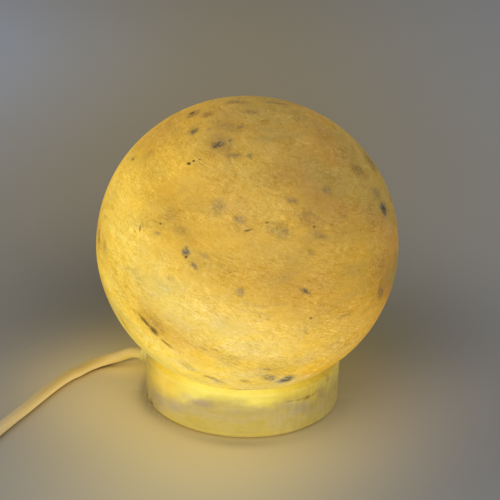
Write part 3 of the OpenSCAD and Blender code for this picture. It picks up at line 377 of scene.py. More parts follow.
def rounded_oblong(half_length, half_width, corner, height):
    """Ring of points round an oblong with round corners, at a height."""
    angle = (np.arange(OBLONG_POINTS) + 0.5) * 2 * np.pi / OBLONG_POINTS
    out_x, out_y = np.cos(angle), np.sin(angle)
    x = np.sign(out_x) * (half_length - corner) + corner * out_x
    y = np.sign(out_y) * (half_width - corner) + corner * out_y
    return np.stack((x, y, height + 0 * x), axis=-1)


CASE_WALL = 0.0016
CASE_EDGE_R = 0.0026
CASE_CORNER_R = 0.008
CASE_BEVEL = 0.0004
CASE_GROOVE = 0.0005
# How far the upper case stays off the lower one, and the chamfer inside its top
SEAM_GAP = 0.00002
CASE_CHAMFER = 0.001
OPENING_CORNER_R = 0.0006


def add_switch_top():
    """Upper case of the switch: rings from the rocker's opening over the top to the seam, and back inside.

    The long edge is a quarter circle, and a groove runs along the seam. A ring is an oblong that lies
    inside the outline by an inset, or outside the opening by an outset, at a height.
    """
    low, high = (np.array(corner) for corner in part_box("switch_top"))
    middle = (low + high) / 2
    half_x, half_y, _ = (high - low) / 2
    opening_x, opening_y = ROCKER_OPENING
    top, wall, bevel, soft = high[2], CASE_WALL, CASE_BEVEL, 0.3 * CASE_BEVEL
    turn = np.linspace(0, math.pi / 2, 10)
    mouth = [(0, 0, top - wall), (0, 0, top - bevel), (soft, 0.0001, top - soft), (bevel, bevel, top)]
    sides = [(CASE_EDGE_R + bevel, top)]
    sides += [(CASE_EDGE_R * (1 - math.sin(t)), top - CASE_EDGE_R * (1 - math.cos(t))) for t in turn]
    sides += [(0, SWITCH_SEAM + 0.0006), (0, SWITCH_SEAM + CASE_GROOVE), (soft, SWITCH_SEAM + 0.0002),
              (CASE_GROOVE, SWITCH_SEAM + SEAM_GAP), (wall, SWITCH_SEAM + SEAM_GAP),
              (wall, top - wall - CASE_CHAMFER), (wall + CASE_CHAMFER, top - wall)]
    rings = [(opening_x + out, opening_y + out, OPENING_CORNER_R + more, z) for out, more, z in mouth]
    rings += [(half_x - inset, half_y - inset, CASE_CORNER_R - inset, z) for inset, z in sides]
    points = np.stack([rounded_oblong(*ring) for ring in rings])
    points[..., :2] += middle[:2]
    piece = surface("switch_case_top", points, closed_along=True)
    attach(piece, "base")
    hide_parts("switch_top")
    return piece


# Plug: half sizes of its neck, and the shares of its length where the ends' round stops and it is full thick
PLUG_NECK = (0.0068, 0.0052)
PLUG_END_SHARES = (0.06, 0.95)
PLUG_THICK_SHARE = 0.35
PLUG_END_R = 0.0016
PLUG_OVAL_POWER = 4.2
GRIP_SHARES = (0.46, 0.86)
GRIP_FADE = 0.03
# The ribs reach over this share of the half width, and fade over the next one
FLAT_SHARES = (0.62, 0.06)
RIB_DEPTH = 0.00035
RIB_PITCH = 0.0023


def add_plug_body():
    """Body of the plug: rings along it, each an oval of a power over four, that widen to a shoulder.

    Half width and half thickness grow from the neck by soft steps. Both draw in by a quarter circle at
    the ends, and shallow ribs across the flats give a grip.
    """
    low, high = (np.array(corner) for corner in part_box("plug_body"))
    middle = (low + high) / 2
    half_w, length, half_t = (high - low) * (0.5, 1, 0.5)
    neck_w, neck_t = PLUG_NECK
    quarter = np.linspace(0, np.pi / 2, 9)
    end_from, end_to = PLUG_END_SHARES
    share = np.concatenate((end_from * (1 - np.cos(quarter[:-1])), np.linspace(end_from, end_to, 70),
                            end_to + (1 - end_to) * np.sin(quarter[1:])))
    along = length * share
    grip_from, grip_to = GRIP_SHARES
    step = np.clip(share / grip_from, 0, 1)
    step = step ** 2 * (3 - 2 * step)
    width = neck_w + (half_w - neck_w) * step
    thick = neck_t + (half_t - neck_t) * np.clip(share / PLUG_THICK_SHARE, 0, 1) ** 0.7
    short = np.clip(PLUG_END_R - np.minimum(along, length - along), 0, PLUG_END_R)
    inset = PLUG_END_R - np.sqrt(np.maximum(PLUG_END_R ** 2 - short ** 2, 0))
    width, thick = width - inset, thick - inset
    angle = full_turn(120)
    x, z = (np.sign(v) * np.abs(v) ** (2 / PLUG_OVAL_POWER) for v in (np.cos(angle), np.sin(angle)))
    grip = np.clip(np.minimum(share - grip_from, grip_to - share) / GRIP_FADE, 0, 1)
    ribs = RIB_DEPTH * grip * (0.5 - 0.5 * np.cos(2 * np.pi * (share - grip_from) * length / RIB_PITCH))
    on_flat = np.clip((FLAT_SHARES[0] - np.abs(x)) / FLAT_SHARES[1], 0, 1)
    height = z * (thick[:, None] - ribs[:, None] * on_flat)
    rings = np.stack((
        middle[0] + width[:, None] * x, low[1] + along[:, None] + 0 * x, middle[2] + height
    ), axis=-1)
    ends = [np.repeat(ring.mean(axis=0)[None], len(angle), axis=0)[None] for ring in (rings[0], rings[-1])]
    piece = surface("plug_case", np.concatenate((ends[0], rings, ends[1])))
    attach(piece, "base")
    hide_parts("plug_body")
    return piece


ROCKER_BEVEL = 0.0004
ROCKER_HEAD_HALF_WIDTH = 0.0059
ROCKER_HEAD_FROM = 0.0005
ROCKER_SAME_POINT = 1e-6
FLAT_ANGLE = math.radians(1)
SHARP_ANGLE = math.radians(35)


def add_rocker():
    """Rocker of the switch: a copy of the model's solid, with the outward edges of its head rounded."""
    work = bmesh.new()
    work.from_mesh(nodes["rocker"].data)
    bmesh.ops.remove_doubles(work, verts=work.verts, dist=ROCKER_SAME_POINT)
    bmesh.ops.dissolve_limit(work, angle_limit=FLAT_ANGLE, verts=work.verts, edges=work.edges)
    untilt = Matrix.Rotation(ROCKER_TILT, 3, "Y")
    level = {vertex: untilt @ (vertex.co - ROCKER_PIVOT) for vertex in work.verts}
    sharp = [
        edge for edge in work.edges
        if edge.is_convex and edge.calc_face_angle(0) > SHARP_ANGLE
        and all(level[v].z > ROCKER_HEAD_FROM and abs(level[v].y) < ROCKER_HEAD_HALF_WIDTH
                for v in edge.verts)
    ]
    bmesh.ops.bevel(work, geom=sharp, offset=ROCKER_BEVEL, segments=3, profile=0.5, affect="EDGES")
    mesh = bpy.data.meshes.new("rocker_cap")
    work.to_mesh(mesh)
    work.free()
    mesh.shade_smooth()
    piece = shown("rocker_cap", mesh)
    piece.modifiers.new("flat_faces", "WEIGHTED_NORMAL")
    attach(piece, "rocker")
    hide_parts("rocker")
    return piece


# Shader nodes

def put(tree, node, inputs):
    """Sets inputs of a node: a map from its sockets to values, or to outputs to link them with."""
    for socket, value in inputs.items():
        if isinstance(value, bpy.types.NodeSocket):
            tree.links.new(value, node.inputs[socket])
        else:
            node.inputs[socket].default_value = value


def add(tree, kind, inputs, **properties):
    """Adds a shader node with its properties and inputs."""
    made = tree.nodes.new("ShaderNode" + kind)
    for key, value in properties.items():
        setattr(made, key, value)
    put(tree, made, inputs)
    return made


def new_material(name):
    """Material with a bare shader: its node tree, its shader and its object coordinates."""
    material = bpy.data.materials.new(name)
    material.use_nodes = True
    tree = material.node_tree
    shader = tree.nodes["Principled BSDF"]
    place = add(tree, "TexCoord", {}).outputs["Object"]
    return material, tree, shader, place


def noise(tree, place, scale, detail=3.0, roughness=0.5, distortion=0.0):
    """Grey noise whose largest features are about one over the scale in metres."""
    return add(tree, "TexNoise", {
        "Vector": place, "Scale": scale, "Detail": detail, "Roughness": roughness, "Distortion": distortion,
    }).outputs[0]


def placed(tree, place, kind="POINT", location=(0, 0, 0), rotation=(0, 0, 0), scale=(1, 1, 1)):
    """Coordinates moved, turned and scaled."""
    return add(tree, "Mapping", {
        "Vector": place, "Location": location, "Rotation": rotation, "Scale": scale,
    }, vector_type=kind).outputs[0]


def spread(tree, value, low, high, to_low=0.0, to_high=1.0):
    """Carries the range from low to high over to another range, with soft ends."""
    return add(tree, "MapRange", {
        "Value": value, "From Min": low, "From Max": high, "To Min": to_low, "To Max": to_high,
    }, interpolation_type="SMOOTHSTEP").outputs[0]


def swung(tree, grey, low=0.0, high=1.0):
    """Carries the range in which grey noise mostly lies over to another."""
    return spread(tree, grey, 0.3, 0.7, low, high)


def compute(tree, operation, first, second, clamp=False):
    """One sum on two values."""
    return add(tree, "Math", {0: first, 1: second}, operation=operation, use_clamp=clamp).outputs[0]


def total(tree, *values):
    """Sum of values."""
    return reduce(lambda first, second: compute(tree, "ADD", first, second), values)


def product(tree, *values):
    """Product of values."""
    return reduce(lambda first, second: compute(tree, "MULTIPLY", first, second), values)


def scaled(tree, vector, scale):
    """Vector or colour times a number."""
    return add(tree, "VectorMath", {0: vector, "Scale": scale}, operation="SCALE").outputs[0]


def summed(tree, first, second):
    """Sum of two vectors."""
    return add(tree, "VectorMath", {0: first, 1: second}, operation="ADD").outputs[0]


def mixed(tree, factor, first, second, blend="MIX"):
    """Colour between two colours."""
    return add(tree, "Mix", {0: factor, 6: first, 7: second}, data_type="RGBA", blend_type=blend).outputs[2]


def tinted(tree, first, second):
    """One colour times another."""
    return mixed(tree, 1.0, first, second, "MULTIPLY")


def bumped(tree, shader, height, distance, strength=1.0):
    """Gives the shader a bump from a height."""
    bump = add(tree, "Bump", {"Height": height, "Distance": distance, "Strength": strength})
    put(tree, shader, {"Normal": bump.outputs[0]})


def rgb(red, green, blue):
    """Linear colour of a colour given as it shows, from 0 to 255."""
    level = np.array((red, green, blue)) / 255
    linear = np.where(level <= 0.04045, level / 12.92, ((level + 0.055) / 1.055) ** 2.4)
    return (*linear.tolist(), 1.0)


def finish(name, colour, roughness, metallic, grain, vary, wear=0.08, depth=0.00002, more=()):
    """Plain finish with fine grain: colour and gloss that vary a little, and a slight bump."""
    material, tree, shader, place = new_material(name)
    colour = np.array(rgb(*colour)[:3])
    fine = noise(tree, place, grain, 4, 0.6)
    broad = noise(tree, place, grain / 12, 3)
    tone = total(tree, product(tree, fine, 0.4), product(tree, broad, 0.6))
    dark, light = ((*np.minimum(colour * share, 1).tolist(), 1.0) for share in (1 - vary, 1 + vary))
    put(tree, shader, {
        "Base Color": mixed(tree, swung(tree, tone), dark, light),
        "Roughness": swung(tree, broad, roughness - wear, roughness + wear),
        "Metallic": metallic, **dict(more),
    })
    bumped(tree, shader, fine, depth)
    return material


# Metres that a pixel of the picture spans at most on a surface, however far that turns away
PIXEL_SPAN = 0.0016
# How much wider than its given size a mark is made, for the part that fades
MARK_SPREAD = 1.5


def mark_mask(tree, place, marks, oval):
    """Mask of oval marks on the globe or the base: their strength in the middle, fading to 0 at the edge."""
    mask = 0.0
    for x, y, half_length, half_width, turn, strength in marks:
        middle, out = seen_on_oval(x, y, *oval)
        aside = math.radians(turn)
        along = seen_on_oval(x + math.cos(aside), y + math.sin(aside), *oval)[0] - middle
        across = seen_on_oval(x - math.sin(aside), y + math.cos(aside), *oval)[0] - middle
        size = [min(np.linalg.norm(step), PIXEL_SPAN) * half * MARK_SPREAD
                for step, half in ((along, half_length), (across, half_width))]
        along -= along.dot(out) * out
        along /= max(np.linalg.norm(along), 1e-9)
        turned_to = Matrix(np.stack((along, np.cross(out, along), out), axis=1).tolist()).to_euler()
        near = placed(tree, place, "TEXTURE", middle.tolist(), turned_to, (*size, max(size)))
        far = add(tree, "VectorMath", {0: near}, operation="LENGTH").outputs["Value"]
        mask = compute(tree, "MAXIMUM", spread(tree, far, 1.0, 0.15, 0, strength), mask)
    return mask


def warped(tree, place, scale, reach):
    """Coordinates shaken by noise, so that what they carry has ragged edges."""
    shake = add(tree, "TexNoise", {"Vector": place, "Scale": scale, "Detail": 3.0}).outputs["Color"]
    centred = add(tree, "VectorMath", {0: shake, 1: (0.5, 0.5, 0.5)}, operation="SUBTRACT").outputs[0]
    return summed(tree, place, scaled(tree, centred, reach))


# Stone that glows

BAND_TILT = math.radians(-28)
SALT_COLOUR = (128, 99, 42)
# Glow of red, green and blue, as shares of 1, x, z, x squared, z squared and x times z. These numbers and
# GLOW_PATCHES were solved by a scratch program from the picture's colours, and weren't chosen by hand.
GLOW_POWERS = [
    (0.947, -0.101, -0.141, -0.584, -0.611, -0.104),
    (0.616, -0.072, -0.121, -0.422, -0.355, 0.036),
    (0.073, -0.005, -0.030, -0.070, -0.020, 0.023),
]
# Thin and thick parts: middle x and z, half length, half width, turn, change of red, green and blue
GLOW_PATCHES = [
    (-0.042, -0.024, 0.025, 0.010, -0.34, (-0.195, -0.184, -0.028)),
    (0.018, 0.007, 0.040, 0.019, -0.37, (-0.362, -0.263, -0.025)),
    (0.035, 0.069, 0.034, 0.009, -0.60, (0.202, 0.103, -0.001)),
    (-0.028, 0.028, 0.040, 0.016, -0.82, (-0.220, -0.145, -0.020)),
    (0.076, -0.006, 0.020, 0.009, -0.99, (-0.157, -0.091, -0.010)),
    (0.033, 0.047, 0.039, 0.030, -0.63, (-0.254, -0.202, -0.028)),
    (-0.007, 0.043, 0.017, 0.008, -0.75, (-0.147, -0.100, -0.001)),
    (-0.078, 0.003, 0.040, 0.003, -1.42, (-0.155, -0.126, -0.016)),
    (-0.065, 0.030, 0.016, 0.030, -0.12, (0.225, 0.217, 0.040)),
    (-0.063, -0.018, 0.040, 0.007, -0.74, (0.230, 0.196, 0.033)),
    (0.001, -0.026, 0.040, 0.019, -0.82, (-0.156, -0.043, 0.060)),
    (-0.040, 0.057, 0.010, 0.019, -0.97, (0.175, 0.123, 0.007)),
    (-0.015, 0.066, 0.007, 0.003, 0.18, (-0.181, -0.109, 0.002)),
    (0.014, -0.040, 0.040, 0.009, -0.34, (-0.009, -0.072, -0.069)),
    (-0.043, 0.002, 0.028, 0.012, -0.82, (-0.037, 0.035, 0.047)),
]
GLOW_LEAST = (0.15, 0.10, 0.014)

# How much red, green and blue change with the fine grain, the broad clouds and the milky parts
FINE_SHARES = (0.70, 0.92, 2.15)
BROAD_SHARES = (1.0, 0.93, 0.35)
MILKY_SHARES = (-0.10, 0.05, 1.0)


def salt_pattern(tree, place):
    """Pattern of the globe's stone: how much of each colour comes through, and its grey, pale and red parts.

    Fine grain, flakes and the painted light and shade on the sides of the worked surface's relief change blue
    most and red least, as a thicker or thinner grain of amber does. Some places are polished more, and show
    less of it. Broad clouds change red and green alike.
    """
    axes = add(tree, "SeparateXYZ", {0: place}).outputs
    banded = placed(tree, place, rotation=(0, BAND_TILT, 0), scale=(1, 1, 1.8))
    flat = placed(tree, banded, scale=(1, 1, 1.6))
    clouds = noise(tree, banded, 24, 4, 0.55, 0.4)
    mottle = noise(tree, banded, 130, 6, 0.72, 0.7)
    flakes = noise(tree, flat, 290, 4, 0.6, 1.4)
    grain = noise(tree, place, 1100, 3, 0.6)
    # Painted light and shade of the relief: a noise, less the same noise a little aside.
    aside = placed(tree, flat, location=(0.0005, 0, 0.0008))
    lit_side, dim_side = (noise(tree, side, 170, 4, 0.6, 0.8) for side in (flat, aside))
    relief = compute(tree, "SUBTRACT", lit_side, dim_side)
    drawn = placed(tree, place, rotation=(0, BAND_TILT, 0), scale=(1, 1, 7))
    streaks = noise(tree, drawn, 75, 5, 0.7, 0.6)
    wisp = compute(tree, "ABSOLUTE", compute(tree, "SUBTRACT", noise(tree, banded, 70, 4, 0.55, 1.3), 0.5), 0)
    wisps = product(tree, spread(tree, wisp, 0.022, 0.0), spread(tree, flakes, 0.42, 0.62))
    low = spread(tree, axes["Z"], GLOBE_Z + 0.02, GLOBE_Z - 0.05)
    fine = total(
        tree, swung(tree, mottle, -0.12, 0.12), spread(tree, flakes, 0.5, 0.72, 0.0, 0.18),
        swung(tree, grain, -0.06, 0.06), product(tree, relief, 1.1), product(tree, wisps, 0.16),
    )
    fine = compute(tree, "SUBTRACT", fine, spread(tree, streaks, 0.58, 0.74, 0.0, 0.26))
    polish = noise(tree, placed(tree, banded, location=(0, 0.3, 0)), 42, 3, 0.5, 0.5)
    fine = product(tree, fine, spread(tree, polish, 0.36, 0.60, 0.55, 1.2))
    broad = swung(tree, clouds, -0.09, 0.08)
    milky = noise(tree, placed(tree, banded, location=(0.2, 0, 0)), 60, 5, 0.66, 0.6)
    milky = product(tree, spread(tree, milky, 0.34, 0.66, -0.16, 0.16), spread(tree, low, 0.0, 1.0, 1.0, 1.6))
    through = scaled(tree, FINE_SHARES, fine)
    for shares, value in ((BROAD_SHARES, broad), (MILKY_SHARES, milky)):
        through = summed(tree, through, scaled(tree, shares, value))
    through = summed(tree, through, (1, 1, 1))
    grey = spread(tree, noise(tree, banded, 38, 5, 0.66, 0.9), 0.50, 0.68)
    grey = product(tree, grey, spread(tree, low, 0.0, 1.0, 1.0, 0.35))
    specks = spread(tree, noise(tree, flat, 360, 2, 0.5), 0.66, 0.74)
    pale = product(tree, low, spread(tree, noise(tree, banded, 60, 5, 0.7, 0.5), 0.44, 0.66))
    return through, grey, specks, pale, mottle, flakes


def salt_material():
    """Turned salt, lit from inside: the glow that the mesh carries, times the stone's own pattern."""
    material, tree, shader, place = new_material("turned_salt")
    through, grey, specks, pale, mottle, flakes = salt_pattern(tree, place)
    loose = warped(tree, warped(tree, place, 260, 0.0035), 900, 0.0012)
    blue = mark_mask(tree, loose, BLUE_MARKS, GLOBE_OVAL)
    brown = mark_mask(tree, loose, BROWN_MARKS, GLOBE_OVAL)
    dark = mark_mask(tree, warped(tree, place, 700, 0.0010), DARK_MARKS, GLOBE_OVAL)
    crumbs = spread(tree, noise(tree, place, 560, 4, 0.7), 0.36, 0.58, 0.35, 1.15)
    blue = compute(tree, "MULTIPLY", blue, crumbs, clamp=True)
    brown = compute(tree, "MULTIPLY", brown, crumbs, clamp=True)
    stain = mixed(tree, product(tree, grey, 0.30), (1, 1, 1, 1), (0.52, 0.60, 1.10, 1))
    stain = mixed(tree, product(tree, pale, 0.45), stain, (1.0, 1.04, 2.2, 1))
    stain = mixed(tree, product(tree, specks, 0.5), stain, (0.60, 0.42, 0.36, 1))
    stain = mixed(tree, brown, stain, (0.42, 0.39, 0.72, 1))
    stain = mixed(tree, blue, stain, (0.20, 0.29, 1.25, 1))
    stain = mixed(tree, dark, stain, (0.07, 0.06, 0.16, 1))
    glow = add(tree, "Attribute", {}, attribute_name="glow").outputs["Color"]
    bright = tinted(tree, stain, through)
    put(tree, shader, {
        "Base Color": tinted(tree, rgb(*SALT_COLOUR), bright), "Emission Color": tinted(tree, glow, bright),
        "Emission Strength": 1.0, "Roughness": 0.62, "Specular IOR Level": 0.25,
    })
    bumped(tree, shader, total(tree, mottle, product(tree, flakes, 0.5)), 0.00035, 0.8)
    return material


def pools(first, second, given):
    """Sum of soft oval pools over two coordinates, each brightest or darkest in its middle.

    A pool's share at a place is e to the minus square of its distance, counted in the pool's half sizes.
    """
    change_here = 0.0
    for middle_first, middle_second, half_length, half_width, turn, change in given:
        one, two = first - middle_first, second - middle_second
        along = one * math.cos(turn) + two * math.sin(turn)
        aside = two * math.cos(turn) - one * math.sin(turn)
        share = np.exp(-(along / half_length) ** 2 - (aside / half_width) ** 2)
        change_here = change_here + share[..., None] * np.array(change)
    return change_here


def cavity_material():
    """Bored wall of the globe, bright from the bulb."""
    material, tree, shader, place = new_material("bored_salt")
    rings = noise(tree, placed(tree, place, scale=(1, 1, 9)), 120, 4, 0.6)
    ridge = swung(tree, rings)
    put(tree, shader, {
        "Base Color": mixed(tree, ridge, rgb(190, 150, 90), rgb(215, 180, 120)), "Roughness": 0.7,
        "Emission Color": mixed(tree, ridge, (0.80, 0.46, 0.10, 1), (1.0, 0.66, 0.20, 1)),
        "Emission Strength": 0.9,
    })
    bumped(tree, shader, rings, 0.0003)
    return material


def globe_glow(points):
    """Glow of the globe's skin: brightest at the lower left, and dim at the top right.

    Each colour is a sum of the powers of x and z up to the second, from -1 to 1 across the globe, and of
    the thin and thick parts of the stone.
    """
    x, z = points[:, 0] / GLOBE_A, (points[:, 2] - GLOBE_Z) / GLOBE_C
    powers = np.stack((1 + 0 * x, x, z, x ** 2, z ** 2, x * z))
    glow = (np.array(GLOW_POWERS) @ powers).T
    glow += pools(points[:, 0], points[:, 2] - GLOBE_Z, GLOW_PATCHES)
    return np.clip(glow, GLOW_LEAST, 1)


SKIN_ROWS = 200
SKIN_COLUMNS = 300
WAVE_DEPTH = 0.00008


def add_globe():
    """Globe: an oval turned round Z, with a bore from below.

    Its skin sinks by waves of a hair's depth: the sum of three sines of the angles round and up.
    """
    mouth_r = CAVITY_R + MOUTH_CHAMFER
    start = -math.acos(mouth_r / GLOBE_A)
    rise = np.linspace(start, math.pi / 2, SKIN_ROWS)
    skin = np.stack((GLOBE_A * np.cos(rise), GLOBE_Z + GLOBE_C * np.sin(rise)), axis=-1)
    dome = np.linspace(math.pi / 2, 0, 40)
    spring = CAVITY_TOP - CAVITY_R
    bore_top = np.stack((CAVITY_R * np.cos(dome), spring + CAVITY_R * np.sin(dome)), axis=-1)
    foot_z = skin[0, 1] + MOUTH_CHAMFER
    wall = np.stack((np.full(30, CAVITY_R), np.linspace(spring, foot_z, 31)[1:]), axis=-1)
    profile = np.concatenate((skin, bore_top, wall))
    profile[[SKIN_ROWS - 1, SKIN_ROWS], 0] = 0
    points = turned(profile, SKIN_COLUMNS)
    angle = full_turn(SKIN_COLUMNS)
    tilt = np.concatenate((rise, np.zeros(len(profile) - SKIN_ROWS)))[:, None]
    waves = np.sin(5 * angle + 3 * tilt) + np.sin(3 * angle - 7 * tilt + 1) + np.sin(11 * tilt + 2 * angle)
    sink = WAVE_DEPTH * (3 + waves) * np.cos(tilt)
    sink[SKIN_ROWS:] = 0
    points[..., :2] *= 1 - sink[..., None] / GLOBE_A
    piece = surface("globe_skin", points, closed_along=True)
    mesh = piece.data
    paint(mesh, "glow", globe_glow(vectors(mesh.vertices, "co")))
    mesh.materials.append(salt_material())
    mesh.materials.append(cavity_material())
    centre = vectors(mesh.polygons, "center")
    inside = np.linalg.norm(centre[:, :2], axis=1) < CAVITY_R * 1.02
    inside &= centre[:, 2] < CAVITY_TOP + 0.001
    mesh.polygons.foreach_set("material_index", inside.astype(np.int32))
    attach(piece, "globe")
    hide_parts("globe")


def base_material():
    """Stone of the base, with painted light of the globe: yellow where it gets in at the top, grey and cloudy
    lower down.
    """
    material, tree, shader, place = new_material("turned_base_stone")
    axes = add(tree, "SeparateXYZ", {0: place}).outputs
    lying = placed(tree, place, scale=(1, 1, 2.4))
    cloudy = noise(tree, lying, 40, 4, 0.55, 0.4)
    mottle = noise(tree, lying, 170, 6, 0.66, 0.5)
    grain = noise(tree, place, 1000, 3, 0.6)
    upright = noise(tree, placed(tree, place, scale=(1, 1, 0.22)), 420, 4, 0.6)
    aside = compute(tree, "POWER", compute(tree, "ABSOLUTE", axes["X"], 0), 2)
    aside = product(tree, aside, spread(tree, axes["X"], 0.03, -0.03, 0.2, 2.6))
    height = total(tree, axes["Z"], swung(tree, cloudy, -0.0025, 0.0025))
    near_top = spread(tree, total(tree, height, aside), 0.0165, 0.0250)
    near_floor = spread(tree, height, 0.0130, 0.0060)
    greyer = noise(tree, placed(tree, lying, location=(0.3, 0, 0)), 36, 4, 0.6, 0.6)
    patches = spread(tree, greyer, 0.40, 0.62)
    body = mixed(tree, patches, (0.340, 0.255, 0.048, 1), (0.310, 0.235, 0.080, 1))
    low = mixed(tree, near_floor, body, (0.335, 0.245, 0.030, 1))
    left, right = spread(tree, axes["X"], -0.022, -0.042), spread(tree, axes["X"], -0.005, 0.036)
    bright = mixed(tree, left, (0.74, 0.62, 0.090, 1), (0.66, 0.43, 0.022, 1))
    bright = mixed(tree, right, bright, (0.64, 0.46, 0.025, 1))
    warm = mixed(tree, near_top, low, bright)
    # Painted light and shade in the glow: a little brighter at the foot, and dimmer towards the left and
    # right edges.
    foot = spread(tree, axes["Z"], 0.0040, 0.0024, 1.0, 1.12)
    fade = spread(tree, axes["X"], -0.0535, -0.040, 0.32, 1.0)
    fade_right = spread(tree, axes["X"], 0.053, 0.010, 0.34, 1.0)
    lines = product(tree, spread(tree, upright, 0.35, 0.65, -0.06, 0.04), spread(tree, axes["X"], 0.0, 0.03))
    tone = total(tree, swung(tree, mottle, 0.95, 1.05), swung(tree, grain, -0.02, 0.02), lines)
    level = product(tree, fade, fade_right, tone, foot)
    loose = warped(tree, place, 420, 0.0022)
    crumbs = spread(tree, noise(tree, place, 560, 4, 0.7), 0.36, 0.58, 0.35, 1.15)
    grey = mark_mask(tree, warped(tree, place, 260, 0.0035), BASE_GREY_MARKS, BASE_OVAL)
    brown = mark_mask(tree, loose, BASE_BROWN_MARKS, BASE_OVAL)
    brown = compute(tree, "MULTIPLY", brown, crumbs, clamp=True)
    stain = mixed(tree, grey, (1, 1, 1, 1), (0.72, 0.70, 1.35, 1))
    stain = mixed(tree, brown, stain, (0.34, 0.24, 0.35, 1))
    stone = mixed(tree, patches, rgb(148, 128, 72), rgb(152, 136, 92))
    put(tree, shader, {
        "Base Color": tinted(tree, scaled(tree, stone, tone), stain),
        "Emission Color": tinted(tree, scaled(tree, warm, level), stain),
        "Emission Strength": 1.0, "Roughness": 0.6, "Specular IOR Level": 0.25,
    })
    bumped(tree, shader, total(tree, mottle, product(tree, grain, 0.3)), 0.00025, 0.7)
    return material


# Bulb

def bulb_material():
    """Clear glass of the lit bulb."""
    material, tree, shader, place = new_material("blown_glass")
    ripple = noise(tree, place, 60, 2)
    put(tree, shader, {
        "Base Color": mixed(tree, ripple, (1.0, 0.97, 0.90, 1), (1.0, 0.99, 0.96, 1)),
        "Roughness": swung(tree, ripple, 0.02, 0.06), "Transmission Weight": 1.0, "IOR": 1.5,
        "Emission Color": (1.0, 0.72, 0.36, 1), "Emission Strength": 0.25,
    })
    return material


def filament_material():
    """Glowing tungsten wire."""
    material, tree, shader, place = new_material("glowing_tungsten")
    heat = noise(tree, place, 400, 2)
    put(tree, shader, {
        "Base Color": (0.2, 0.2, 0.2, 1), "Emission Strength": 12.0,
        "Emission Color": mixed(tree, heat, (1.0, 0.55, 0.20, 1), (1.0, 0.75, 0.40, 1)),
    })
    return material


# Finishes of the model's own pieces

# Name; colour as it shows, roughness, metal, grain, change of colour and of gloss, depth of the bump and
# other sockets; pieces that wear it
FINISHES = [
    ("zinc_plated_steel", ((176, 178, 178), 0.38, 1.0, 700, 0.10, 0.10),
     ["base_plate", "plate_screws", "bracket", "bracket_rivets", "threaded_tube", "tube_nuts",
      "lock_washer", "terminal_screws", "grub_screw", "clamp_screws", "bulb_tip", "bulb_leads",
      "plunger_spring", "grip_screws", "case_screws"]),
    ("drawn_brass", ((214, 176, 96), 0.28, 1.0, 800, 0.08, 0.08),
     ["screw_shell", "terminal_blocks", "bulb_cap", "switch_contacts", "plug_pins"]),
    ("spring_bronze", ((196, 134, 92), 0.30, 1.0, 800, 0.10, 0.08), ["centre_contact", "seesaw_contact"]),
    ("natural_nylon", ((214, 212, 200), 0.45, 0.0, 500, 0.05),
     ["wall_plugs", "clamp_block", "clamp_saddle", "rocker_plunger", "switch_grips"]),
    ("brown_moulding", ((58, 38, 28), 0.25, 0.0, 400, 0.25, 0.06), ["holder_cap", "holder_sleeve"]),
    ("bare_porcelain", ((232, 228, 216), 0.55, 0.0, 900, 0.04), ["holder_core"]),
    ("cream_moulding", ((226, 216, 190), 0.36, 0.0, 700, 0.04, 0.05, 0.00001), ["switch_bottom"]),
    ("cream_relief", ((208, 176, 98), 0.5, 0.0, 700, 0.05), ["inner_cord"]),
    ("pale_relief", ((206, 184, 138), 0.5, 0.0, 700, 0.05), ["switch_cord_ends", "plug_relief"]),
    # The gland's faint glow is painted light from the lamp.
    ("relief_with_painted_glow", ((214, 188, 100), 0.5, 0.0, 700, 0.05, 0.08, 0.00002, {
        "Emission Color": (0.12, 0.115, 0.02, 1), "Emission Strength": 1.0,
    }), ["cord_gland"]),
    # The felt's glow is painted light from the stone above it.
    ("felt_with_painted_glow", ((196, 174, 120), 0.95, 0.0, 1500, 0.30, 0.03, 0.0004, {
        "Sheen Weight": 0.5, "Emission Color": (0.26, 0.21, 0.06, 1), "Emission Strength": 1.0,
    }), ["felt_pad"]),
    ("black_moulding", ((34, 34, 35), 0.45, 0.0, 700, 0.25), ["coil_tie", "pin_sleeves"]),
    ("black_glass", ((18, 18, 20), 0.12, 0.0, 300, 0.3, 0.03), ["bulb_insulator"]),
    ("brown_insulation", ((104, 62, 38), 0.45, 0.0, 700, 0.1), ["live_core", "switch_wires"]),
    ("blue_insulation", ((54, 92, 158), 0.45, 0.0, 700, 0.1), ["neutral_core"]),
]


def dress(material, names):
    """Gives pieces of the model a material."""
    for name in names:
        if not nodes[name].data.materials:
            nodes[name].data.materials.append(material)
        for slot in nodes[name].material_slots:
            slot.material = material


def dress_nodes(mouldings):
    """Gives every piece of the model its finish, and the mouldings that are shaped here theirs."""
    for name, look, worn_by in FINISHES:
        dress(finish(name, *look), worn_by)
    dress(base_material(), ["base_ring"])
    dress(bulb_material(), ["bulb_glass", "bulb_stem"])
    dress(filament_material(), ["bulb_filament"])
    for moulding in mouldings:
        moulding.data.materials.clear()
        moulding.data.materials.append(bpy.data.materials["cream_moulding"])


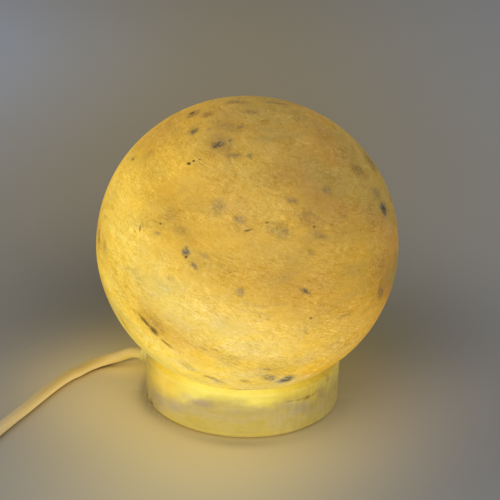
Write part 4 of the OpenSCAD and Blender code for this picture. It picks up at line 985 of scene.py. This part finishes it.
def cord_material():
    """Tan sheath of the cord, matt, with a fine mottle.

    Near the lamp it is more yellow, a painted glow of the lamp, its upper side is darker by painted shade,
    and its lower side is lit by painted light that the lamp and the floor throw on it.
    """
    material, tree, shader, place = new_material("cream_sheath")
    fine = noise(tree, place, 800, 4, 0.6)
    broad = noise(tree, place, 60, 3)
    away = add(tree, "VectorMath", {0: place}, operation="LENGTH").outputs["Value"]
    # Painted light: the sheath turns more yellow near the lamp.
    far = mixed(tree, broad, rgb(200, 176, 130), rgb(210, 187, 142))
    near = mixed(tree, broad, rgb(212, 178, 88), rgb(220, 188, 98))
    shade = mixed(tree, spread(tree, away, 0.150, 0.070), far, near)
    # Painted shade darkens the upper side, and painted light from the lamp and the floor lights the lower
    # side near the lamp.
    up = add(tree, "SeparateXYZ", {0: add(tree, "TexCoord", {}).outputs["Normal"]}).outputs["Z"]
    thrown_on = product(tree, spread(tree, up, 0.92, -0.15), spread(tree, up, -1.0, -0.5, 0.2),
                        spread(tree, away, 0.165, 0.095))
    thrown = mixed(tree, spread(tree, away, 0.085, 0.070), (0.36, 0.28, 0.115, 1), (0.25, 0.20, 0.050, 1))
    put(tree, shader, {
        "Base Color": mixed(tree, spread(tree, up, 0.65, 1.0, 0, 0.22), shade, (0, 0, 0, 1)),
        "Roughness": swung(tree, broad, 0.42, 0.55),
        "Emission Color": mixed(tree, thrown_on, (0, 0, 0, 1), thrown), "Emission Strength": 1.0,
    })
    bumped(tree, shader, fine, 0.00003)
    return material


# Surroundings

# The pools are painted light and shade: light round the base, shade behind it, and broad light and shade
# further off.
# Pools on the floor: middle x and y, half length, half width, turn, change of red, green and blue. The even
# colour and all pools but the last were solved by a scratch program from the picture's colours.
FLOOR_EVEN = (0.225, 0.224, 0.228)
FLOOR_LIGHT_AND_SHADE_POOLS = [
    (-0.003, -0.017, 0.137, 0.081, -1.787, (0.495, 0.375, 0.092)),
    (0.016, 0.057, 0.147, 0.117, -1.096, (-0.261, -0.226, -0.171)),
    (-0.042, 0.570, 0.220, 0.465, -0.021, (0.002, -0.057, -0.179)),
    (-0.600, 0.589, 0.284, 0.583, -1.490, (0.083, 0.139, 0.254)),
    (0.085, -0.011, 0.083, 0.051, -2.228, (0.125, 0.104, 0.085)),
    (-0.075, 0.002, 0.056, 0.047, 1.586, (0.304, 0.219, 0.075)),
    (-0.062, 0.027, 0.015, 0.010, 0.000, (0.320, 0.240, 0.040)),
]
# The strip that the cord shades: y as a parabola over x from a middle, and the lengths over which it fades
STRIP_MIDDLE = -0.0725
STRIP_CURVE = (0.0310, 0.756, -7.86)
STRIP_HALF_WIDTH = 0.0042
STRIP_FADE = (0.020, 0.003)
STRIP_DIM = 0.50
# Rings of shade round the base: how dark, how wide, and for the front one where and how far it reaches
LEFT_RING_DIM = 0.42
LEFT_RING_WIDTH = 0.0035
FRONT_RING_DIM = (0.07, 0.22)
FRONT_RING_MIDDLE_X = -0.002
FRONT_RING_REACH = 0.022
FRONT_RING_OFF = 0.004
FRONT_RING_WIDTH = 0.0045


def floor_colour(across, back):
    """Colour of the floor at a place: even grey, the pools, and rings of shade left and ahead of the base."""
    colour = np.array(FLOOR_EVEN) + pools(across, back, FLOOR_LIGHT_AND_SHADE_POOLS)
    from_edge = np.hypot(across, back) - BASE_R
    left = LEFT_RING_DIM * np.clip(-across / BASE_R, 0, 1) ** 2
    colour *= (1 - left * np.exp(-(from_edge / LEFT_RING_WIDTH) ** 2))[..., None]
    least, more = FRONT_RING_DIM
    middle = np.exp(-((across - FRONT_RING_MIDDLE_X) / FRONT_RING_REACH) ** 2)
    ahead = np.where(back < 0, least + more * middle, 0)
    colour *= (1 - ahead * np.exp(-((from_edge - FRONT_RING_OFF) / FRONT_RING_WIDTH) ** 2))[..., None]
    return np.clip(colour, 0.03, 0.9)


def strip_shade(tree, place):
    """How far a place on the floor lies in the strip that the cord shades beside the base."""
    axes = add(tree, "SeparateXYZ", {0: place}).outputs
    along = compute(tree, "SUBTRACT", axes["X"], STRIP_MIDDLE)
    start, slope, bend = STRIP_CURVE
    line = total(tree, product(tree, along, total(tree, product(tree, along, bend), slope)), start)
    off = compute(tree, "ABSOLUTE", compute(tree, "SUBTRACT", axes["Y"], line), 0)
    reach = compute(tree, "ABSOLUTE", along, 0)
    return product(tree, spread(tree, off, STRIP_HALF_WIDTH, 0), spread(tree, reach, *STRIP_FADE))


def add_stage():
    """Pale floor that runs up into a backdrop by a wide cove, and reaches past every view.

    Its points crowd towards the lamp by a stretched run of sinh.
    """
    half, back, cove, height = 3.4, 3.4, 0.8, 3.6
    turn = np.linspace(0, math.pi / 2, 24)
    across = half * np.sinh(np.linspace(-5, 5, 221)) / math.sinh(5)
    lying = across[across < back - cove - 0.05]
    profile = np.concatenate((
        np.stack((lying, 0 * lying), axis=-1),
        np.stack((back - cove + cove * np.sin(turn), cove - cove * np.cos(turn)), axis=-1),
        [(back, height)],
    ))
    points = np.stack((
        across[None] + 0 * profile[:, :1], profile[:, :1] + 0 * across, profile[:, 1:] + 0 * across
    ), axis=-1)
    index = np.arange(points[..., 0].size).reshape(points.shape[:2])
    faces = np.stack((index[:-1, :-1], index[:-1, 1:], index[1:, 1:], index[1:, :-1]), axis=-1)
    mesh = quad_mesh("floor", points, faces)
    mesh.shade_smooth()
    colour = floor_colour(points[..., 0], points[..., 1] + points[..., 2]).reshape(-1, 3)
    paint(mesh, "tint", colour)
    floor = shown("floor", mesh)
    material, tree, shader, place = new_material("plain_floor")
    shade = add(tree, "Attribute", {}, attribute_name="tint").outputs["Color"]
    dim = product(tree, strip_shade(tree, place), STRIP_DIM)
    put(tree, shader, {
        "Base Color": mixed(tree, dim, shade, (0, 0, 0, 1)), "Roughness": 0.8, "Specular IOR Level": 0.1,
    })
    mesh.materials.append(material)


def add_light(name, place, size, power, colour):
    """Soft square lamp that looks at the globe."""
    data = bpy.data.lights.new(name, "AREA")
    data.size = size
    data.energy = power
    data.color = colour
    lamp = shown(name, data)
    lamp.location = place
    lamp.rotation_euler = (TARGET - Vector(place)).to_track_quat("-Z", "Y").to_euler()


def add_lights():
    """Large soft lamps and an even grey world."""
    add_light("key_lamp", (-1.2, -1.3, 1.9), 2.4, 22, (1.0, 0.98, 0.95))
    add_light("fill_lamp", (1.5, -1.0, 1.4), 2.0, 10, (0.96, 0.98, 1.0))
    world = bpy.data.worlds.new("even_world")
    world.use_nodes = True
    tree = world.node_tree
    even = tree.nodes["Background"]
    put(tree, even, {"Color": (0.95, 0.97, 1.0, 1), "Strength": 0.72})
    far = add(tree, "Background", {"Color": (0.185, 0.187, 0.192, 1), "Strength": 1.0})
    straight = add(tree, "LightPath", {}).outputs["Is Camera Ray"]
    seen = add(tree, "MixShader", {0: straight, 1: even.outputs[0], 2: far.outputs[0]})
    put(tree, tree.nodes["World Output"], {"Surface": seen.outputs[0]})
    bpy.context.scene.world = world


add_camera()
mouldings = [add_switch_top(), add_rocker(), add_plug_body()]
cords = add_cords(*mouldings)
sheath = cord_material()
for cord in cords:
    cord.data.materials.append(sheath)
add_globe()
dress_nodes(mouldings)
add_stage()
add_lights()
bpy.context.scene.view_settings.view_transform = "Standard"
